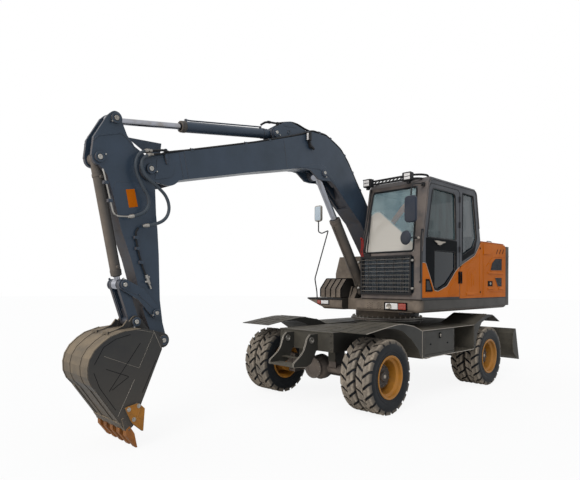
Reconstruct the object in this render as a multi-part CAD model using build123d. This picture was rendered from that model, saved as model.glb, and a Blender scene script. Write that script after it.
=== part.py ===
from build123d import *
import math
import os

# Wheeled excavator with twin tyres, a one-piece boom, an arm and a digging bucket, and a dozer
# blade at the rear. Millimetres, +Z up, the front is -Y and the machine's left is +X.
# Everything is drawn with y = 0 midway between the axles. ORIGIN_SHIFT then moves it, so that the
# origin is on the ground, under the middle of the machine's length.
ORIGIN_SHIFT = 1144.5

# ---- driving dimensions ------------------------------------------------------------------------
GROUND_GAP = 15            # tooth tips above the ground as the machine stands
WHEELBASE = 3000
TYRE_R = 487               # 8.25-20 tyre
RIM_R = 268                # over the rim flange
TYRE_OUTER_X = 1135        # outer face of the outer tyre
TYRE_W = 225
TYRE_PITCH = 235           # outer tyre to inner tyre
KINGPIN_X = 570
DECK_Z = 1030              # top of the lower frame
FRAME_HALF = 485           # half width of the lower frame
FRAME_FRONT = -1850
FRAME_REAR = 2120
BOX_OUT = 1118             # outer face of the side boxes
BOX_Y0, BOX_Y1 = -705, 925
BOX_Z0, BOX_Z1 = 650, 1040
DOOR_Y0, DOOR_Y1 = -630, 225         # opening of the locker in a side box
DOOR_Z0, DOOR_Z1 = 690, 1018

SLEW_Y = 200
RING_R = 570
DRUM_R = 500

SIDE_X = 1050              # left side of the upper body
RIGHT_X = -1014            # right side of the upper body
PLAT_Z0, PLAT_Z1 = 1270, 1450
PLAT_Y0, PLAT_Y1 = -620, 2360
TAIL_R = 2400              # counterweight radius about the slew centre
HOOD_Z = 2385
LIFT_EYE_Y, LIFT_EYE_R, LIFT_EYE_DEPTH = 2470, 18, 70

CAB_X0, CAB_X1 = 55, 1050
CAB_WALL = 42
ROOF_Z = 3245

BOOM_X = -150              # middle plane of boom, arm and bucket
BOOM_HALF = 140
ARM_HALF = 106
BUCKET_HALF = 310
TOOTH_PITCH = 144
CLEAR = 5                  # beside moving plates
PIN_FIT = 0.05             # radial clearance of a pin in its bore

# pins of the working gear: (y, z)
BOOM_FOOT = (400, 1720)
BOOM_CYL_FOOT = (-259, 1560)
BOOM_CYL_EYE = (-1444, 3302)
ARM_PIN = (-4372, 2914)
ARM_CYL_FOOT = (-2405, 3710)
ARM_CYL_EYE = (-4765, 3382)
BUCKET_CYL_FOOT = (-4945, 2952)
ROCKER_PIN = (-4292, 1360)
ROCKER_EYE = (-4677, 1667)
LINK_PIN = (-4540, 1276)
BUCKET_PIN = (-4201, 1057)

BLADE_PIVOT = (2050, 560)
BLADE_CYL_FOOT = (2170, 930)
BLADE_CYL_EYE = (2515, 660)
BLADE_ARM_X = 400
BLADE_CYL_X = 190


# ---- shapes ------------------------------------------------------------------------------------
def box(x0, x1, y0, y1, z0, z1):
    """A box from its two corners."""
    centre = ((x0 + x1) / 2, (y0 + y1) / 2, (z0 + z1) / 2)
    return Pos(*centre) * Box(abs(x1 - x0), abs(y1 - y0), abs(z1 - z0))


def side_plate(points, x0, x1, r=0):
    """A plate with a (y, z) outline, from x0 to x1, with its corners rounded to r."""
    face = make_face(Polyline(*points, close=True))
    if r:
        face = fillet(face.vertices(), r)
    return extrude(Plane.YZ.offset(min(x0, x1)) * face, amount=abs(x1 - x0))


def front_plate(points, y0, y1):
    """A plate with an (x, z) outline, from y0 to y1."""
    face = make_face(Polyline(*points, close=True))
    return extrude(Plane.XZ.offset(-max(y0, y1)) * face, amount=abs(y1 - y0))


def bar(a, b, r):
    """A round bar between two points."""
    start, end = Vector(*a), Vector(*b)
    way = end - start
    return Solid.make_cylinder(r, way.length, Plane(origin=start, z_dir=way))


def cross_pin(pin, x0, x1, r):
    """A round bar across the machine, at a (y, z) pin."""
    return bar((x0, pin[0], pin[1]), (x1, pin[0], pin[1]), r)


def strap(p, rp, q, rq, x0, x1):
    """A plate round two (y, z) pins, with round ends and straight tangent sides."""
    dy, dz = q[0] - p[0], q[1] - p[1]
    far = math.hypot(dy, dz)
    along = math.atan2(dz, dy)
    lean = math.acos((rp - rq) / far)
    corners = []
    for centre, radius, side in ((p, rp, 1), (q, rq, 1), (q, rq, -1), (p, rp, -1)):
        turn = along + side * lean
        corners.append((centre[0] + radius * math.cos(turn), centre[1] + radius * math.sin(turn)))
    return side_plate(corners, x0, x1) + cross_pin(p, x0, x1, rp) + cross_pin(q, x0, x1, rq)


def toward(p, q, distance):
    """The (y, z) point at a distance from p on the line to q."""
    far = math.hypot(q[0] - p[0], q[1] - p[1])
    return (p[0] + (q[0] - p[0]) * distance / far, p[1] + (q[1] - p[1]) * distance / far)


def offset_polygon(points, inset):
    """A closed (y, z) outline moved inwards. The points run clockwise."""
    moved = []
    count = len(points)
    for i in range(count):
        a, b, c = points[i - 1], points[i], points[(i + 1) % count]
        in1 = math.atan2(b[1] - a[1], b[0] - a[0]) - math.pi / 2
        in2 = math.atan2(c[1] - b[1], c[0] - b[0]) - math.pi / 2
        half = (in2 - in1) / 2
        size = inset / math.cos(half)
        moved.append((b[0] + size * math.cos(in1 + half), b[1] + size * math.sin(in1 + half)))
    return moved


def mirror_x(shape):
    return mirror(shape, about=Plane.YZ)


def save(name, *pieces):
    """Write a node. Several pieces in one node don't touch each other."""
    shape = pieces[0] if len(pieces) == 1 else Compound(list(pieces))
    export_step(shape.moved(Location((0, ORIGIN_SHIFT, 0))), f"parts/{name}.step")


# ---- lower frame -------------------------------------------------------------------------------
def chassis_frame():
    head = box(-FRAME_HALF, FRAME_HALF, FRAME_FRONT, -1150, 765, DECK_Z)
    spine = box(-420, 420, -1150, FRAME_REAR, 720, DECK_Z)
    deck = box(-FRAME_HALF, FRAME_HALF, FRAME_FRONT - 10, FRAME_REAR, DECK_Z - 14, DECK_Z)
    seat = Solid.make_cylinder(DRUM_R - 20, 70, Plane(origin=(0, SLEW_Y, DECK_Z)))
    flange = Solid.make_cylinder(DRUM_R + 30, 52, Plane(origin=(0, SLEW_Y, DECK_Z + 18)))
    frame = head + spine + deck + seat + flange
    for y in (-WHEELBASE / 2, WHEELBASE / 2):
        frame += box(-330, -210, y - 110, y + 110, 600, 765)
        frame += box(210, 330, y - 110, y + 110, 600, 765)
    for side in (-1, 1):
        x = side * BLADE_ARM_X
        for outer in (-1, 1):
            a = x + outer * (45 + CLEAR)
            ear = strap(BLADE_PIVOT, 70, (FRAME_REAR - 60, 800), 110, a, a + outer * 20)
            frame += ear
        frame += cross_pin(BLADE_PIVOT, x - 72, x + 72, 28)
        for outer in (-1, 1):
            a = side * BLADE_CYL_X + outer * (30 + CLEAR)
            frame += strap(BLADE_CYL_FOOT, 45, (FRAME_REAR - 40, 940), 70, a, a + outer * 14)
        x = side * BLADE_CYL_X
        frame += cross_pin(BLADE_CYL_FOOT, x - 50, x + 50, 18)
    frame -= box(-230, 230, -1150, FRAME_REAR - 250, 700, 940)
    return frame


def slew_ring():
    ring = Solid.make_cylinder(RING_R, 42, Plane(origin=(0, SLEW_Y, DECK_Z + 70)))
    hole = Solid.make_cylinder(RING_R - 190, 60, Plane(origin=(0, SLEW_Y, DECK_Z + 60)))
    return ring - hole


def toolbox():
    """The left side box: a locker behind the door, and an open step behind it."""
    inner, wall = FRAME_HALF + 2, 5
    shell = box(inner, BOX_OUT, BOX_Y0, BOX_Y1, BOX_Z0, BOX_Z1)
    locker = box(inner + 60, BOX_OUT + 9, DOOR_Y0 + 2 - 40, DOOR_Y1 + 10, BOX_Z0 + wall, BOX_Z1 - wall)
    step = box(inner + 60, BOX_OUT + 9, DOOR_Y1 + 20, BOX_Y1 - 8, BOX_Z0 + 8, BOX_Z1 - wall)
    shell -= locker
    shell -= step
    rim = box(BOX_OUT - 6, BOX_OUT, BOX_Y0, DOOR_Y1 + 20, BOX_Z0, BOX_Z1)
    rim -= box(BOX_OUT - 9, BOX_OUT + 9, DOOR_Y0, DOOR_Y1, DOOR_Z0, DOOR_Z1)
    return shell + rim


def toolbox_door():
    gap = 6
    x0 = BOX_OUT - 5
    return box(x0, BOX_OUT, DOOR_Y0 + gap, DOOR_Y1 - gap, DOOR_Z0 + gap, DOOR_Z1 - gap)


def front_fender():
    """Left front mudguard: a curved sheet over both tyres, closed by a web at its rear."""
    x0, x1, wall = 560, 1120, 7
    top = [(-2030, 1076), (-1640, 1126), (-1336, 1158), (-1189, 1156), (-910, 1112), (-712, 1040)]
    arch = [(-712, 652), (-730, 652), (-812, 790), (-992, 940), (-1216, 1062), (-1408, 1108)]
    front = [(-1640, 1119), (-2030, 1069)]
    sheet = side_plate([*top[:3], *top[3:], *arch, *front], x1 - wall, x1)
    skin = [(-2030, 1076), (-1640, 1126), (-1408, 1115), (-1216, 1069), (-988, 946), (-806, 795),
            (-722, 652), (-730, 652), (-812, 790), (-992, 940), (-1216, 1062), (-1408, 1108),
            (-1640, 1119), (-2030, 1069)]
    cover = side_plate(skin, x0, x1 - wall)
    lid = [(-1640, 1126), (-1336, 1158), (-1189, 1156), (-910, 1112), (-712, 1040), (-712, 1033),
           (-912, 1105), (-1190, 1149), (-1336, 1151), (-1640, 1119)]
    inner = side_plate([*top[1:], *arch, (-1640, 1119)], x0, x0 + wall)
    return sheet + cover + side_plate(lid, x0, x1 - wall) + inner


def rear_fender():
    """Left rear mudguard."""
    x0, x1, wall = 560, 1120, 7
    outline = [(932, 1040), (1393, 1188), (1640, 1168), (1905, 1052), (1905, 1045), (1638, 1160),
               (1420, 1130), (1200, 1062), (1040, 900), (960, 652), (932, 652)]
    sheet = side_plate(outline, x1 - wall, x1)
    skin = [(1905, 1052), (1640, 1168), (1420, 1138), (1195, 1069), (1032, 904), (952, 652),
            (960, 652), (1040, 900), (1200, 1062), (1420, 1130), (1638, 1160), (1905, 1045)]
    cover = side_plate(skin, x0, x1 - wall)
    lid = [(932, 1040), (1393, 1188), (1640, 1168), (1638, 1160), (1393, 1180), (932, 1032)]
    inner = side_plate([(932, 1040), (1393, 1188), (1640, 1168), (1638, 1160), (1420, 1130),
                        (1200, 1062), (1040, 900), (960, 652), (932, 652)], x0, x0 + wall)
    return sheet + cover + side_plate(lid, x0, x1 - wall) + inner


def front_step():
    """Two brackets with tow eyes, and a tread between them."""
    outline = [(FRAME_FRONT - 10, 998), (-2013, 998), (-2075, 946), (-2100, 877), (-2139, 788),
               (-2201, 727), (-2342, 637), (-2350, 583), (-2094, 568), (-1999, 600),
               (-1928, 695), (-1890, 765), (FRAME_FRONT - 10, 770)]
    step = box(-208, 208, -2345, -2150, 590, 602) + box(-208, 208, -2110, -2030, 660, 672)
    for side in (-1, 1):
        plate = side_plate(outline, side * 208, side * 226)
        step += plate - cross_pin((-1985, 915), side * 190, side * 240, 25)
    return step


def axle_beam(y, half):
    """Axle housing with a round differential, seen from below and in front."""
    z = TYRE_R
    beam = bar((-half, y, z), (half, y, z), 68)
    beam += Pos(0, y, z) * Sphere(175)
    beam += bar((0, y - 190, z), (0, y + 190, z), 95)
    for x in (-270, 270):
        beam += box(x - 60, x + 60, y - 95, y + 95, z + 30, 600)
    return beam


def front_axle():
    y, z = -WHEELBASE / 2, TYRE_R
    axle = axle_beam(y, KINGPIN_X - 100)
    for side in (-1, 1):
        x = side * KINGPIN_X
        fork = box(x - side * 110, x - side * 70, y - 60, y + 60, z - 135, z + 135)
        for flip in (-1, 1):
            z0 = z + flip * 105
            fork += box(x - side * 110, x, y - 46, y + 46, z0, z0 + flip * 30)
            fork += bar((x, y, z0), (x, y, z0 + flip * 30), 46)
        fork -= bar((x, y, z - 150), (x, y, z + 150), 26 + PIN_FIT)
        axle += fork
    return axle


def rear_axle():
    y, z = WHEELBASE / 2, TYRE_R
    axle = axle_beam(y, 560)
    for side in (-1, 1):
        axle += bar((side * 540, y, z), (side * 600, y, z), 120)
        axle += bar((side * 600, y, z), (side * 760, y, z), 55)
    return axle


def knuckle(side):
    y, z = -WHEELBASE / 2, TYRE_R
    x = side * KINGPIN_X
    body = bar((x, y, z - 98), (x, y, z + 98), 52)
    body += bar((x, y, z - 146), (x, y, z + 146), 26)
    body += bar((x, y, z), (side * 760, y, z), 55)
    body += box(x - 22, x + 22, y, y + 215, z - 80, z - 55)
    return body


def tie_rod():
    y, z = -WHEELBASE / 2 + 185, TYRE_R - 120
    reach = KINGPIN_X
    rod = bar((-reach + 30, y, z), (reach - 30, y, z), 17)
    for side in (-1, 1):
        rod += bar((side * reach, y, z - 22), (side * reach, y, z + 22), 32)
        rod += bar((side * (reach - 60), y, z), (side * reach, y, z), 20)
    return rod


def drive_line():
    """Gearbox under the frame, and a shaft to each axle."""
    z = TYRE_R + 20
    line = box(-150, 150, SLEW_Y - 170, SLEW_Y + 170, 520, 715)
    line += box(-60, 60, SLEW_Y - 230, SLEW_Y + 230, 450, 560)
    line += bar((0, -WHEELBASE / 2 + 196, TYRE_R), (0, SLEW_Y - 225, z), 38)
    line += bar((0, WHEELBASE / 2 - 196, TYRE_R), (0, SLEW_Y + 225, z), 38)
    return line


# ---- wheels ------------------------------------------------------------------------------------
def tyre(x_mid, y):
    """One tyre as a ring with rounded shoulders."""
    half = TYRE_W / 2
    section = [(-half + 22, RIM_R), (-half + 4, 330), (-half, 385), (-half + 12, 450),
               (-half + 38, TYRE_R - 4), (-half + 60, TYRE_R), (half - 60, TYRE_R),
               (half - 38, TYRE_R - 4), (half - 12, 450), (half, 385), (half - 4, 330),
               (half - 22, RIM_R)]
    face = make_face(Polyline(*section, close=True))
    ring = revolve(Plane.XY * face, axis=Axis.X)
    return Pos(x_mid, y, TYRE_R) * ring


def tyre_pair(side, y):
    outer = side * (TYRE_OUTER_X - TYRE_W / 2)
    return [tyre(outer, y), tyre(outer - side * TYRE_PITCH, y)]


def rim_pair(side, y):
    """Both rims, the disc between them and the hub drum, turned as one piece."""
    out = TYRE_OUTER_X - 10
    mid = TYRE_OUTER_X - TYRE_W / 2 - TYRE_PITCH / 2
    low = TYRE_OUTER_X - TYRE_PITCH - TYRE_W + 10
    r_out, lip = RIM_R - 0.4, TYRE_OUTER_X - 13
    section = [(low, r_out - 16), (low, r_out), (lip, r_out), (lip, RIM_R + 13), (out, RIM_R + 13),
               (out, RIM_R + 2), (out - 4, RIM_R - 14), (out - 40, RIM_R - 20),
               (out - 62, RIM_R - 48), (mid + 30, RIM_R - 56), (mid + 12, RIM_R - 66),
               (mid - 12, RIM_R - 66), (mid - 30, RIM_R - 56), (low + 60, RIM_R - 48)]
    shape = revolve(Plane.XY * make_face(Polyline(*section, close=True)), axis=Axis.X)
    shape += bar((mid - 12, 0, 0), (mid + 12, 0, 0), RIM_R - 60)
    shape += bar((632, 0, 0), (mid + 60, 0, 0), 150)
    shape += bar((mid + 60, 0, 0), (mid + 92, 0, 0), 70)
    shape -= bar((600, 0, 0), (770, 0, 0), 55 + PIN_FIT)
    if side < 0:
        shape = mirror_x(shape)
    return Pos(0, y, TYRE_R) * shape


# ---- dozer blade -------------------------------------------------------------------------------
def dozer_blade():
    """A curved mouldboard facing the rear, its ribs and its two push arms."""
    half, wall = 1100, 16
    face = [(2700, 868), (2640, 790), (2615, 690), (2620, 580), (2660, 460), (2740, 360), (2862, 305)]
    back = [(y - wall, z + 2) for y, z in reversed(face)]
    blade = side_plate([*face, *back], -half, half)
    for side in (-1, 1):
        a = side * half
        blade += side_plate([(2700, 870), (2862, 302), (2740, 340), (2600, 450), (2560, 620),
                             (2590, 800), (2650, 870)], a - side * 16, a)
        x = side * BLADE_ARM_X
        arm = side_plate([(2030, 600), (2300, 620), (2615, 690), (2640, 520), (2300, 500),
                          (2030, 520)], x - 45, x + 45)
        arm += cross_pin(BLADE_PIVOT, x - 45, x + 45, 60)
        blade += arm - cross_pin(BLADE_PIVOT, x - 60, x + 60, 28 + PIN_FIT)
        for outer in (-1, 1):
            a = side * BLADE_CYL_X + outer * (30 + CLEAR)
            blade += strap(BLADE_CYL_EYE, 45, (2590, 660), 60, a, a + outer * 14)
    return blade


def blade_cylinder_barrels():
    barrels = []
    end = toward(BLADE_CYL_FOOT, BLADE_CYL_EYE, 300)
    start = toward(BLADE_CYL_FOOT, BLADE_CYL_EYE, 58)
    for side in (-1, 1):
        x = side * BLADE_CYL_X
        eye = cross_pin(BLADE_CYL_FOOT, x - 30, x + 30, 38)
        barrel = bar((x, *start), (x, *end), 45) + eye + bar((x, *BLADE_CYL_FOOT), (x, *start), 30)
        barrel -= cross_pin(BLADE_CYL_FOOT, x - 60, x + 60, 18 + PIN_FIT)
        barrels.append(barrel - bar((x, *toward(BLADE_CYL_FOOT, BLADE_CYL_EYE, 74)), (x, *end), 25.4))
    return barrels


def blade_cylinder_rods():
    rods = []
    start = toward(BLADE_CYL_FOOT, BLADE_CYL_EYE, 158)
    for side in (-1, 1):
        x = side * BLADE_CYL_X
        rod = bar((x, *start), (x, *BLADE_CYL_EYE), 25) + cross_pin(BLADE_CYL_EYE, x - 30, x + 30, 38)
        rods.append(rod - cross_pin(BLADE_CYL_EYE, x - 60, x + 60, 19))
    return rods


# ---- upper body --------------------------------------------------------------------------------
def platform():
    """Deck with its skirt, the drum under it and the plates that carry boom and cylinder."""
    deck = box(RIGHT_X, SIDE_X, PLAT_Y0, PLAT_Y1, PLAT_Z0, PLAT_Z1)
    deck = fillet(deck.edges().filter_by(Axis.Z).group_by(Axis.Y)[0].sort_by(Axis.X)[-1], 110)
    deck = fillet(deck.edges().filter_by(Axis.Y).group_by(Axis.Z)[0].sort_by(Axis.X)[-1], 60)
    deck -= box(-300, -22, PLAT_Y0 - 10, PLAT_Y0 + 170, PLAT_Z0 - 10, PLAT_Z1 + 10)
    deck -= box(478, 842, PLAT_Y0 - 10, PLAT_Y0 + 40, 1298, 1414)
    wedge = [(RIGHT_X - 1, 1425), (RIGHT_X - 1, PLAT_Z0 - 1), (-690, PLAT_Z0 - 1), (-700, 1300)]
    deck -= front_plate(wedge, PLAT_Y0 - 10, PLAT_Y1 + 10)
    deck += Solid.make_cylinder(DRUM_R, PLAT_Z0 - 1147, Plane(origin=(0, SLEW_Y, 1147)))
    outline = [(-420, 1445), (-345, 1640), (-180, 1660), (220, 1830), (400, 1860), (530, 1800),
               (620, 1640), (680, 1445)]
    for side in (-1, 1):
        inner = BOOM_X + side * (BOOM_HALF + CLEAR)
        plate = side_plate(outline, inner, inner + side * 24)
        deck += plate
        foot = BOOM_X + side * (55 + CLEAR)
        deck += side_plate([(-420, 1445), (-335, 1560), (-183, 1560), (-90, 1445)], foot, inner)
        deck += cross_pin(BOOM_CYL_FOOT, foot, inner, 78)
    deck += cross_pin(BOOM_FOOT, BOOM_X - BOOM_HALF - 28, BOOM_X + BOOM_HALF + 28, 40)
    deck += cross_pin(BOOM_CYL_FOOT, BOOM_X - 80, BOOM_X + 80, 36)
    return deck


def counterweight():
    """Cast block at the tail, round about the slew centre."""
    z0, z1 = PLAT_Z0 + 20, HOOD_Z - 15
    disc = Solid.make_cylinder(TAIL_R, z1 - z0, Plane(origin=(0, SLEW_Y, z0)))
    block = disc & box(-SIDE_X, SIDE_X, PLAT_Y1 + 5, 2700, z0, z1)
    block -= box(-300, 300, 2500, 2700, 1500, 1650)
    block -= bar((0, LIFT_EYE_Y, z1 - LIFT_EYE_DEPTH), (0, LIFT_EYE_Y, z1 + 10), LIFT_EYE_R)
    return block


def cab_outline():
    return [(-620, 1455), (-620, 2115), (-405, 3170), (-335, ROOF_Z), (1100, ROOF_Z - 10),
            (1165, 3170), (1328, 2375), (1292, 2345), (1095, 2155), (640, 1995), (585, 1940),
            (585, 1455)]


def cab_frame():
    """Hollow welded cab with its window and door openings cut."""
    outline = cab_outline()
    cab = side_plate(outline, CAB_X0, CAB_X1, 24)
    cab = fillet(cab.faces().filter_by(Plane.YZ).edges(), 22)
    cab -= side_plate(offset_polygon(outline, CAB_WALL), CAB_X0 + CAB_WALL, CAB_X1 - CAB_WALL)
    screen = [(110, 2150), (150, 3120), (880, 3120), (935, 2150)]
    cab -= front_plate(screen, -700, -300)
    cab -= box(115, 935, -700, -500, 1560, 2080)
    cab -= side_plate(door_outline(0), CAB_X1 - 60, CAB_X1 + 10)
    quarter = [(660, 2140), (660, 3120), (1030, 3110), (1165, 2440), (1060, 2290)]
    cab -= side_plate(quarter, CAB_X1 - 60, CAB_X1 + 10)
    right_window = [(-480, 2150), (-290, 3110), (1030, 3110), (1165, 2440), (1060, 2290), (660, 2140)]
    cab -= side_plate(right_window, CAB_X0 - 10, CAB_X0 + 60)
    cab -= box(CAB_X0 + 120, CAB_X1 - 120, 1000, 1400, 2480, 3080)
    return cab


def door_outline(gap):
    """Outline of the cab door's opening, or of the door that fits in it with a gap."""
    points = [(-592, 1478), (-592, 2112), (-392, 3095), (-340, 3150), (510, 3150), (562, 3098),
              (562, 1478)]
    return offset_polygon(points, gap) if gap else points


UPPER_GLASS = [(-455, 2360), (-300, 3050), (-262, 3078), (375, 3072), (410, 3030), (440, 2360)]
LOWER_GLASS = [(-240, 1620), (-240, 2180), (430, 2180), (430, 1905), (140, 1690), (-110, 1610)]


def cab_door():
    door = side_plate(door_outline(6), CAB_X1 - 40, CAB_X1)
    for glass, r in ((UPPER_GLASS, 36), (LOWER_GLASS, 18)):
        door -= side_plate(glass, CAB_X1 - 60, CAB_X1 + 10, r)
    return door


def cab_door_glass():
    return [side_plate(offset_polygon(glass, 1), CAB_X1 - 24, CAB_X1 - 18, r)
            for glass, r in ((UPPER_GLASS, 35), (LOWER_GLASS, 17))]


def cab_glazing():
    """Fixed panes, each 6 thick, 1 inside its opening."""
    lean = math.atan2(3170 - 2115, 215)
    screen = front_plate([(112, 0), (152, 950), (878, 950), (933, 0)], -3, 3)
    screen = Pos(0, -590, 2160) * Rot(-(90 - math.degrees(lean)), 0, 0) * screen
    lower = box(116, 934, -606, -600, 1561, 2079)
    quarter = [(660, 2140), (660, 3120), (1030, 3110), (1165, 2440), (1060, 2290)]
    right_window = [(-480, 2150), (-290, 3110), (1030, 3110), (1165, 2440), (1060, 2290), (660, 2140)]
    left = side_plate(offset_polygon(quarter, 1), CAB_X1 - 24, CAB_X1 - 18)
    right = side_plate(offset_polygon(right_window, 1), CAB_X0 + 18, CAB_X0 + 24)
    return [screen, lower, left, right]


def front_grille():
    x0, x1, z0, z1, y = 70, 915, 1525, 2105, -650
    frame = box(x0, x1, y, y + 25, z0, z1) - box(x0 + 30, x1 - 30, y - 5, y + 35, z0 + 30, z1 - 30)
    for i in range(1, 9):
        z = z0 + i * (z1 - z0) / 9
        frame += box(x0 + 20, x1 - 20, y + 6, y + 14, z - 4, z + 4)
    for i in range(1, 6):
        x = x0 + i * (x1 - x0) / 6
        frame += box(x - 4, x + 4, y + 6, y + 14, z0 + 20, z1 - 20)
    for x in (x0 + 12, x1 - 12):
        for z in (z0 + 80, z1 - 80):
            frame += box(x - 12, x + 12, y + 20, y + 30, z - 15, z + 15)
    return frame


def seat():
    x = 545
    base = box(x - 200, x + 200, 0, 420, 1500, 1790)
    cushion = box(x - 240, x + 240, -60, 420, 1790, 1910)
    back = side_plate([(370, 1900), (480, 2560), (570, 2560), (470, 1880)], x - 230, x + 230)
    head = box(x - 120, x + 120, 485, 570, 2555, 2740)
    return base + cushion + back + head


def cab_controls():
    """Steering column, two consoles with their levers, and the travel pedals."""
    x = 545
    column = bar((x, -400, 1530), (x, -250, 2030), 38) + box(x - 70, x + 70, -460, -340, 1498, 1560)
    tilt = Vector(0, -150, -530)
    wheel = Solid.make_torus(175, 14, Plane(origin=(x, -245, 2048), z_dir=tilt))
    spoke = box(x - 165, x + 165, -270, -220, 2035, 2055)
    pieces = [column + wheel + spoke]
    for side in (-1, 1):
        a = x + side * 300
        console = box(a - 45, a + 45, -60, 480, 1960, 2040) + box(a - 35, a + 35, 300, 440, 1498, 1965)
        console += bar((a, 0, 2040), (a, -20, 2190), 14) + bar((a, -20, 2180), (a, -22, 2240), 26)
        pieces.append(console)
    return pieces


def engine_block():
    return box(-330, 380, 1480, 2230, 1455, 2140)


def engine_bay():
    """Bulkhead behind the cab, corner posts and the top rails that the panels close on."""
    bay = box(-985, 1010, 1360, 1372, 1455, 2345)
    for x0, x1 in ((975, 1012), (-1000, -960)):
        for y0 in (1385, 2300):
            bay += box(x0, x1, y0, y0 + 35, 1455, 2345)
        bay += box(x0, x1, 1365, 2335, 2310, 2345)
    bay += box(-1000, 1012, 2310, 2335, 2310, 2345)
    return bay


def right_tanks():
    """Fuel tank, and the hydraulic tank behind it."""
    outline = [(RIGHT_X, 1452), (RIGHT_X, 1870), (RIGHT_X + 85, 2165), (-350, 2165), (-350, 1452)]
    return [front_plate(outline, 150, 720), front_plate(outline, 735, 1340)]


def right_front_cover():
    """Ribbed sheet cover over the tool space in front of the fuel tank."""
    outline = [(-580, 1462), (-580, 1600), (-420, 1765), (-60, 1765), (-60, 1462)]
    cover = side_plate(outline, -775, -345)
    cover -= side_plate(offset_polygon(outline, 4), -771, -349)
    cover -= box(-771, -349, -576, -64, 1440, 1500)
    return cover


LEFT_SERVICE = [(596, 1462), (596, 1930), (648, 1980), (1101, 2140), (1300, 2333), (1341, 2368),
                (1341, 2383), (1400, 2383), (1400, 1462)]
REAR_PANEL = [(1412, 1462), (1412, 2383), (2300, 2383), (2350, 2330), (2350, 1462)]


def engine_hood():
    """Lid with turned-down edges over the engine bay."""
    lid = box(-660, 1012, 1372, 2352, HOOD_Z - 2, HOOD_Z + 22)
    lid -= box(-655, 1007, 1377, 2347, HOOD_Z - 10, HOOD_Z + 18)
    return lid


def right_top_cover():
    """Fixed top strip on the right, which carries the exhaust."""
    return box(RIGHT_X + 5, -668, 1372, 2352, HOOD_Z + 2, HOOD_Z + 22)


def exhaust():
    pipe = bar((-820, 1700, HOOD_Z + 23), (-820, 1700, 2760), 55)
    pipe += bar((-820, 1700, 2755), (-820, 1760, 2860), 45)
    return pipe


def mirrors():
    """Left rectangular and round mirrors, and the right mirror on its bent stalk."""
    left = box(900, 1060, -790, -745, 2560, 2890)
    left += bar((980, -770, 2880), (985, -770, 3080), 9) + bar((985, -770, 3075), (985, -440, 3120), 9)
    round_mirror = bar((905, -790, 2300), (905, -760, 2300), 100)
    round_mirror += bar((905, -765, 2300), (1000, -596, 2300), 8)
    right = box(-905, -765, -585, -545, 2750, 3010)
    path = [(-835, -562, 2755), (-835, -562, 2567), (-835, -475, 2547), (-835, -300, 2610),
            (-835, -652, 1768), (-835, -600, 1560), (-835, -596, 1462)]
    for a, b in zip(path, path[1:]):
        right += bar(a, b, 10)
    for corner in path[1:-1]:
        right += Pos(*corner) * Sphere(10)
    return [left, round_mirror, right]


def lamps():
    """Headlamps in the deck's front beam, and two work lamps on the cab roof."""
    pieces = [box(486, 834, PLAT_Y0 - 4, PLAT_Y0 + 38, 1306, 1406),
              box(-800, -560, PLAT_Y0 - 14, PLAT_Y0 - 1, 1345, 1412)]
    for x in (70, 720):
        lamp = box(x, x + 120, -560, -480, 3190, 3310) + box(x + 50, x + 70, -485, -240, ROOF_Z + 2, ROOF_Z + 16)
        pieces.append(lamp)
    return pieces


# ---- boom, arm and bucket ----------------------------------------------------------------------
BOOM_TOP = [(-4200, 3128), (-3835, 3205), (-2810, 3488), (-2152, 3690), (-1884, 3776),
            (-1700, 3850), (-1400, 3850), (-1188, 3770), (-1043, 3700), (-871, 3541),
            (-641, 3248), (-482, 3062), (480, 1850)]
BOOM_BOTTOM = [(300, 1640), (-539, 2645), (-618, 2702), (-900, 2920), (-1150, 3130), (-1350, 3260),
               (-1560, 3330), (-1950, 3296), (-2812, 3116), (-3934, 2859), (-4240, 2765)]


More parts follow.
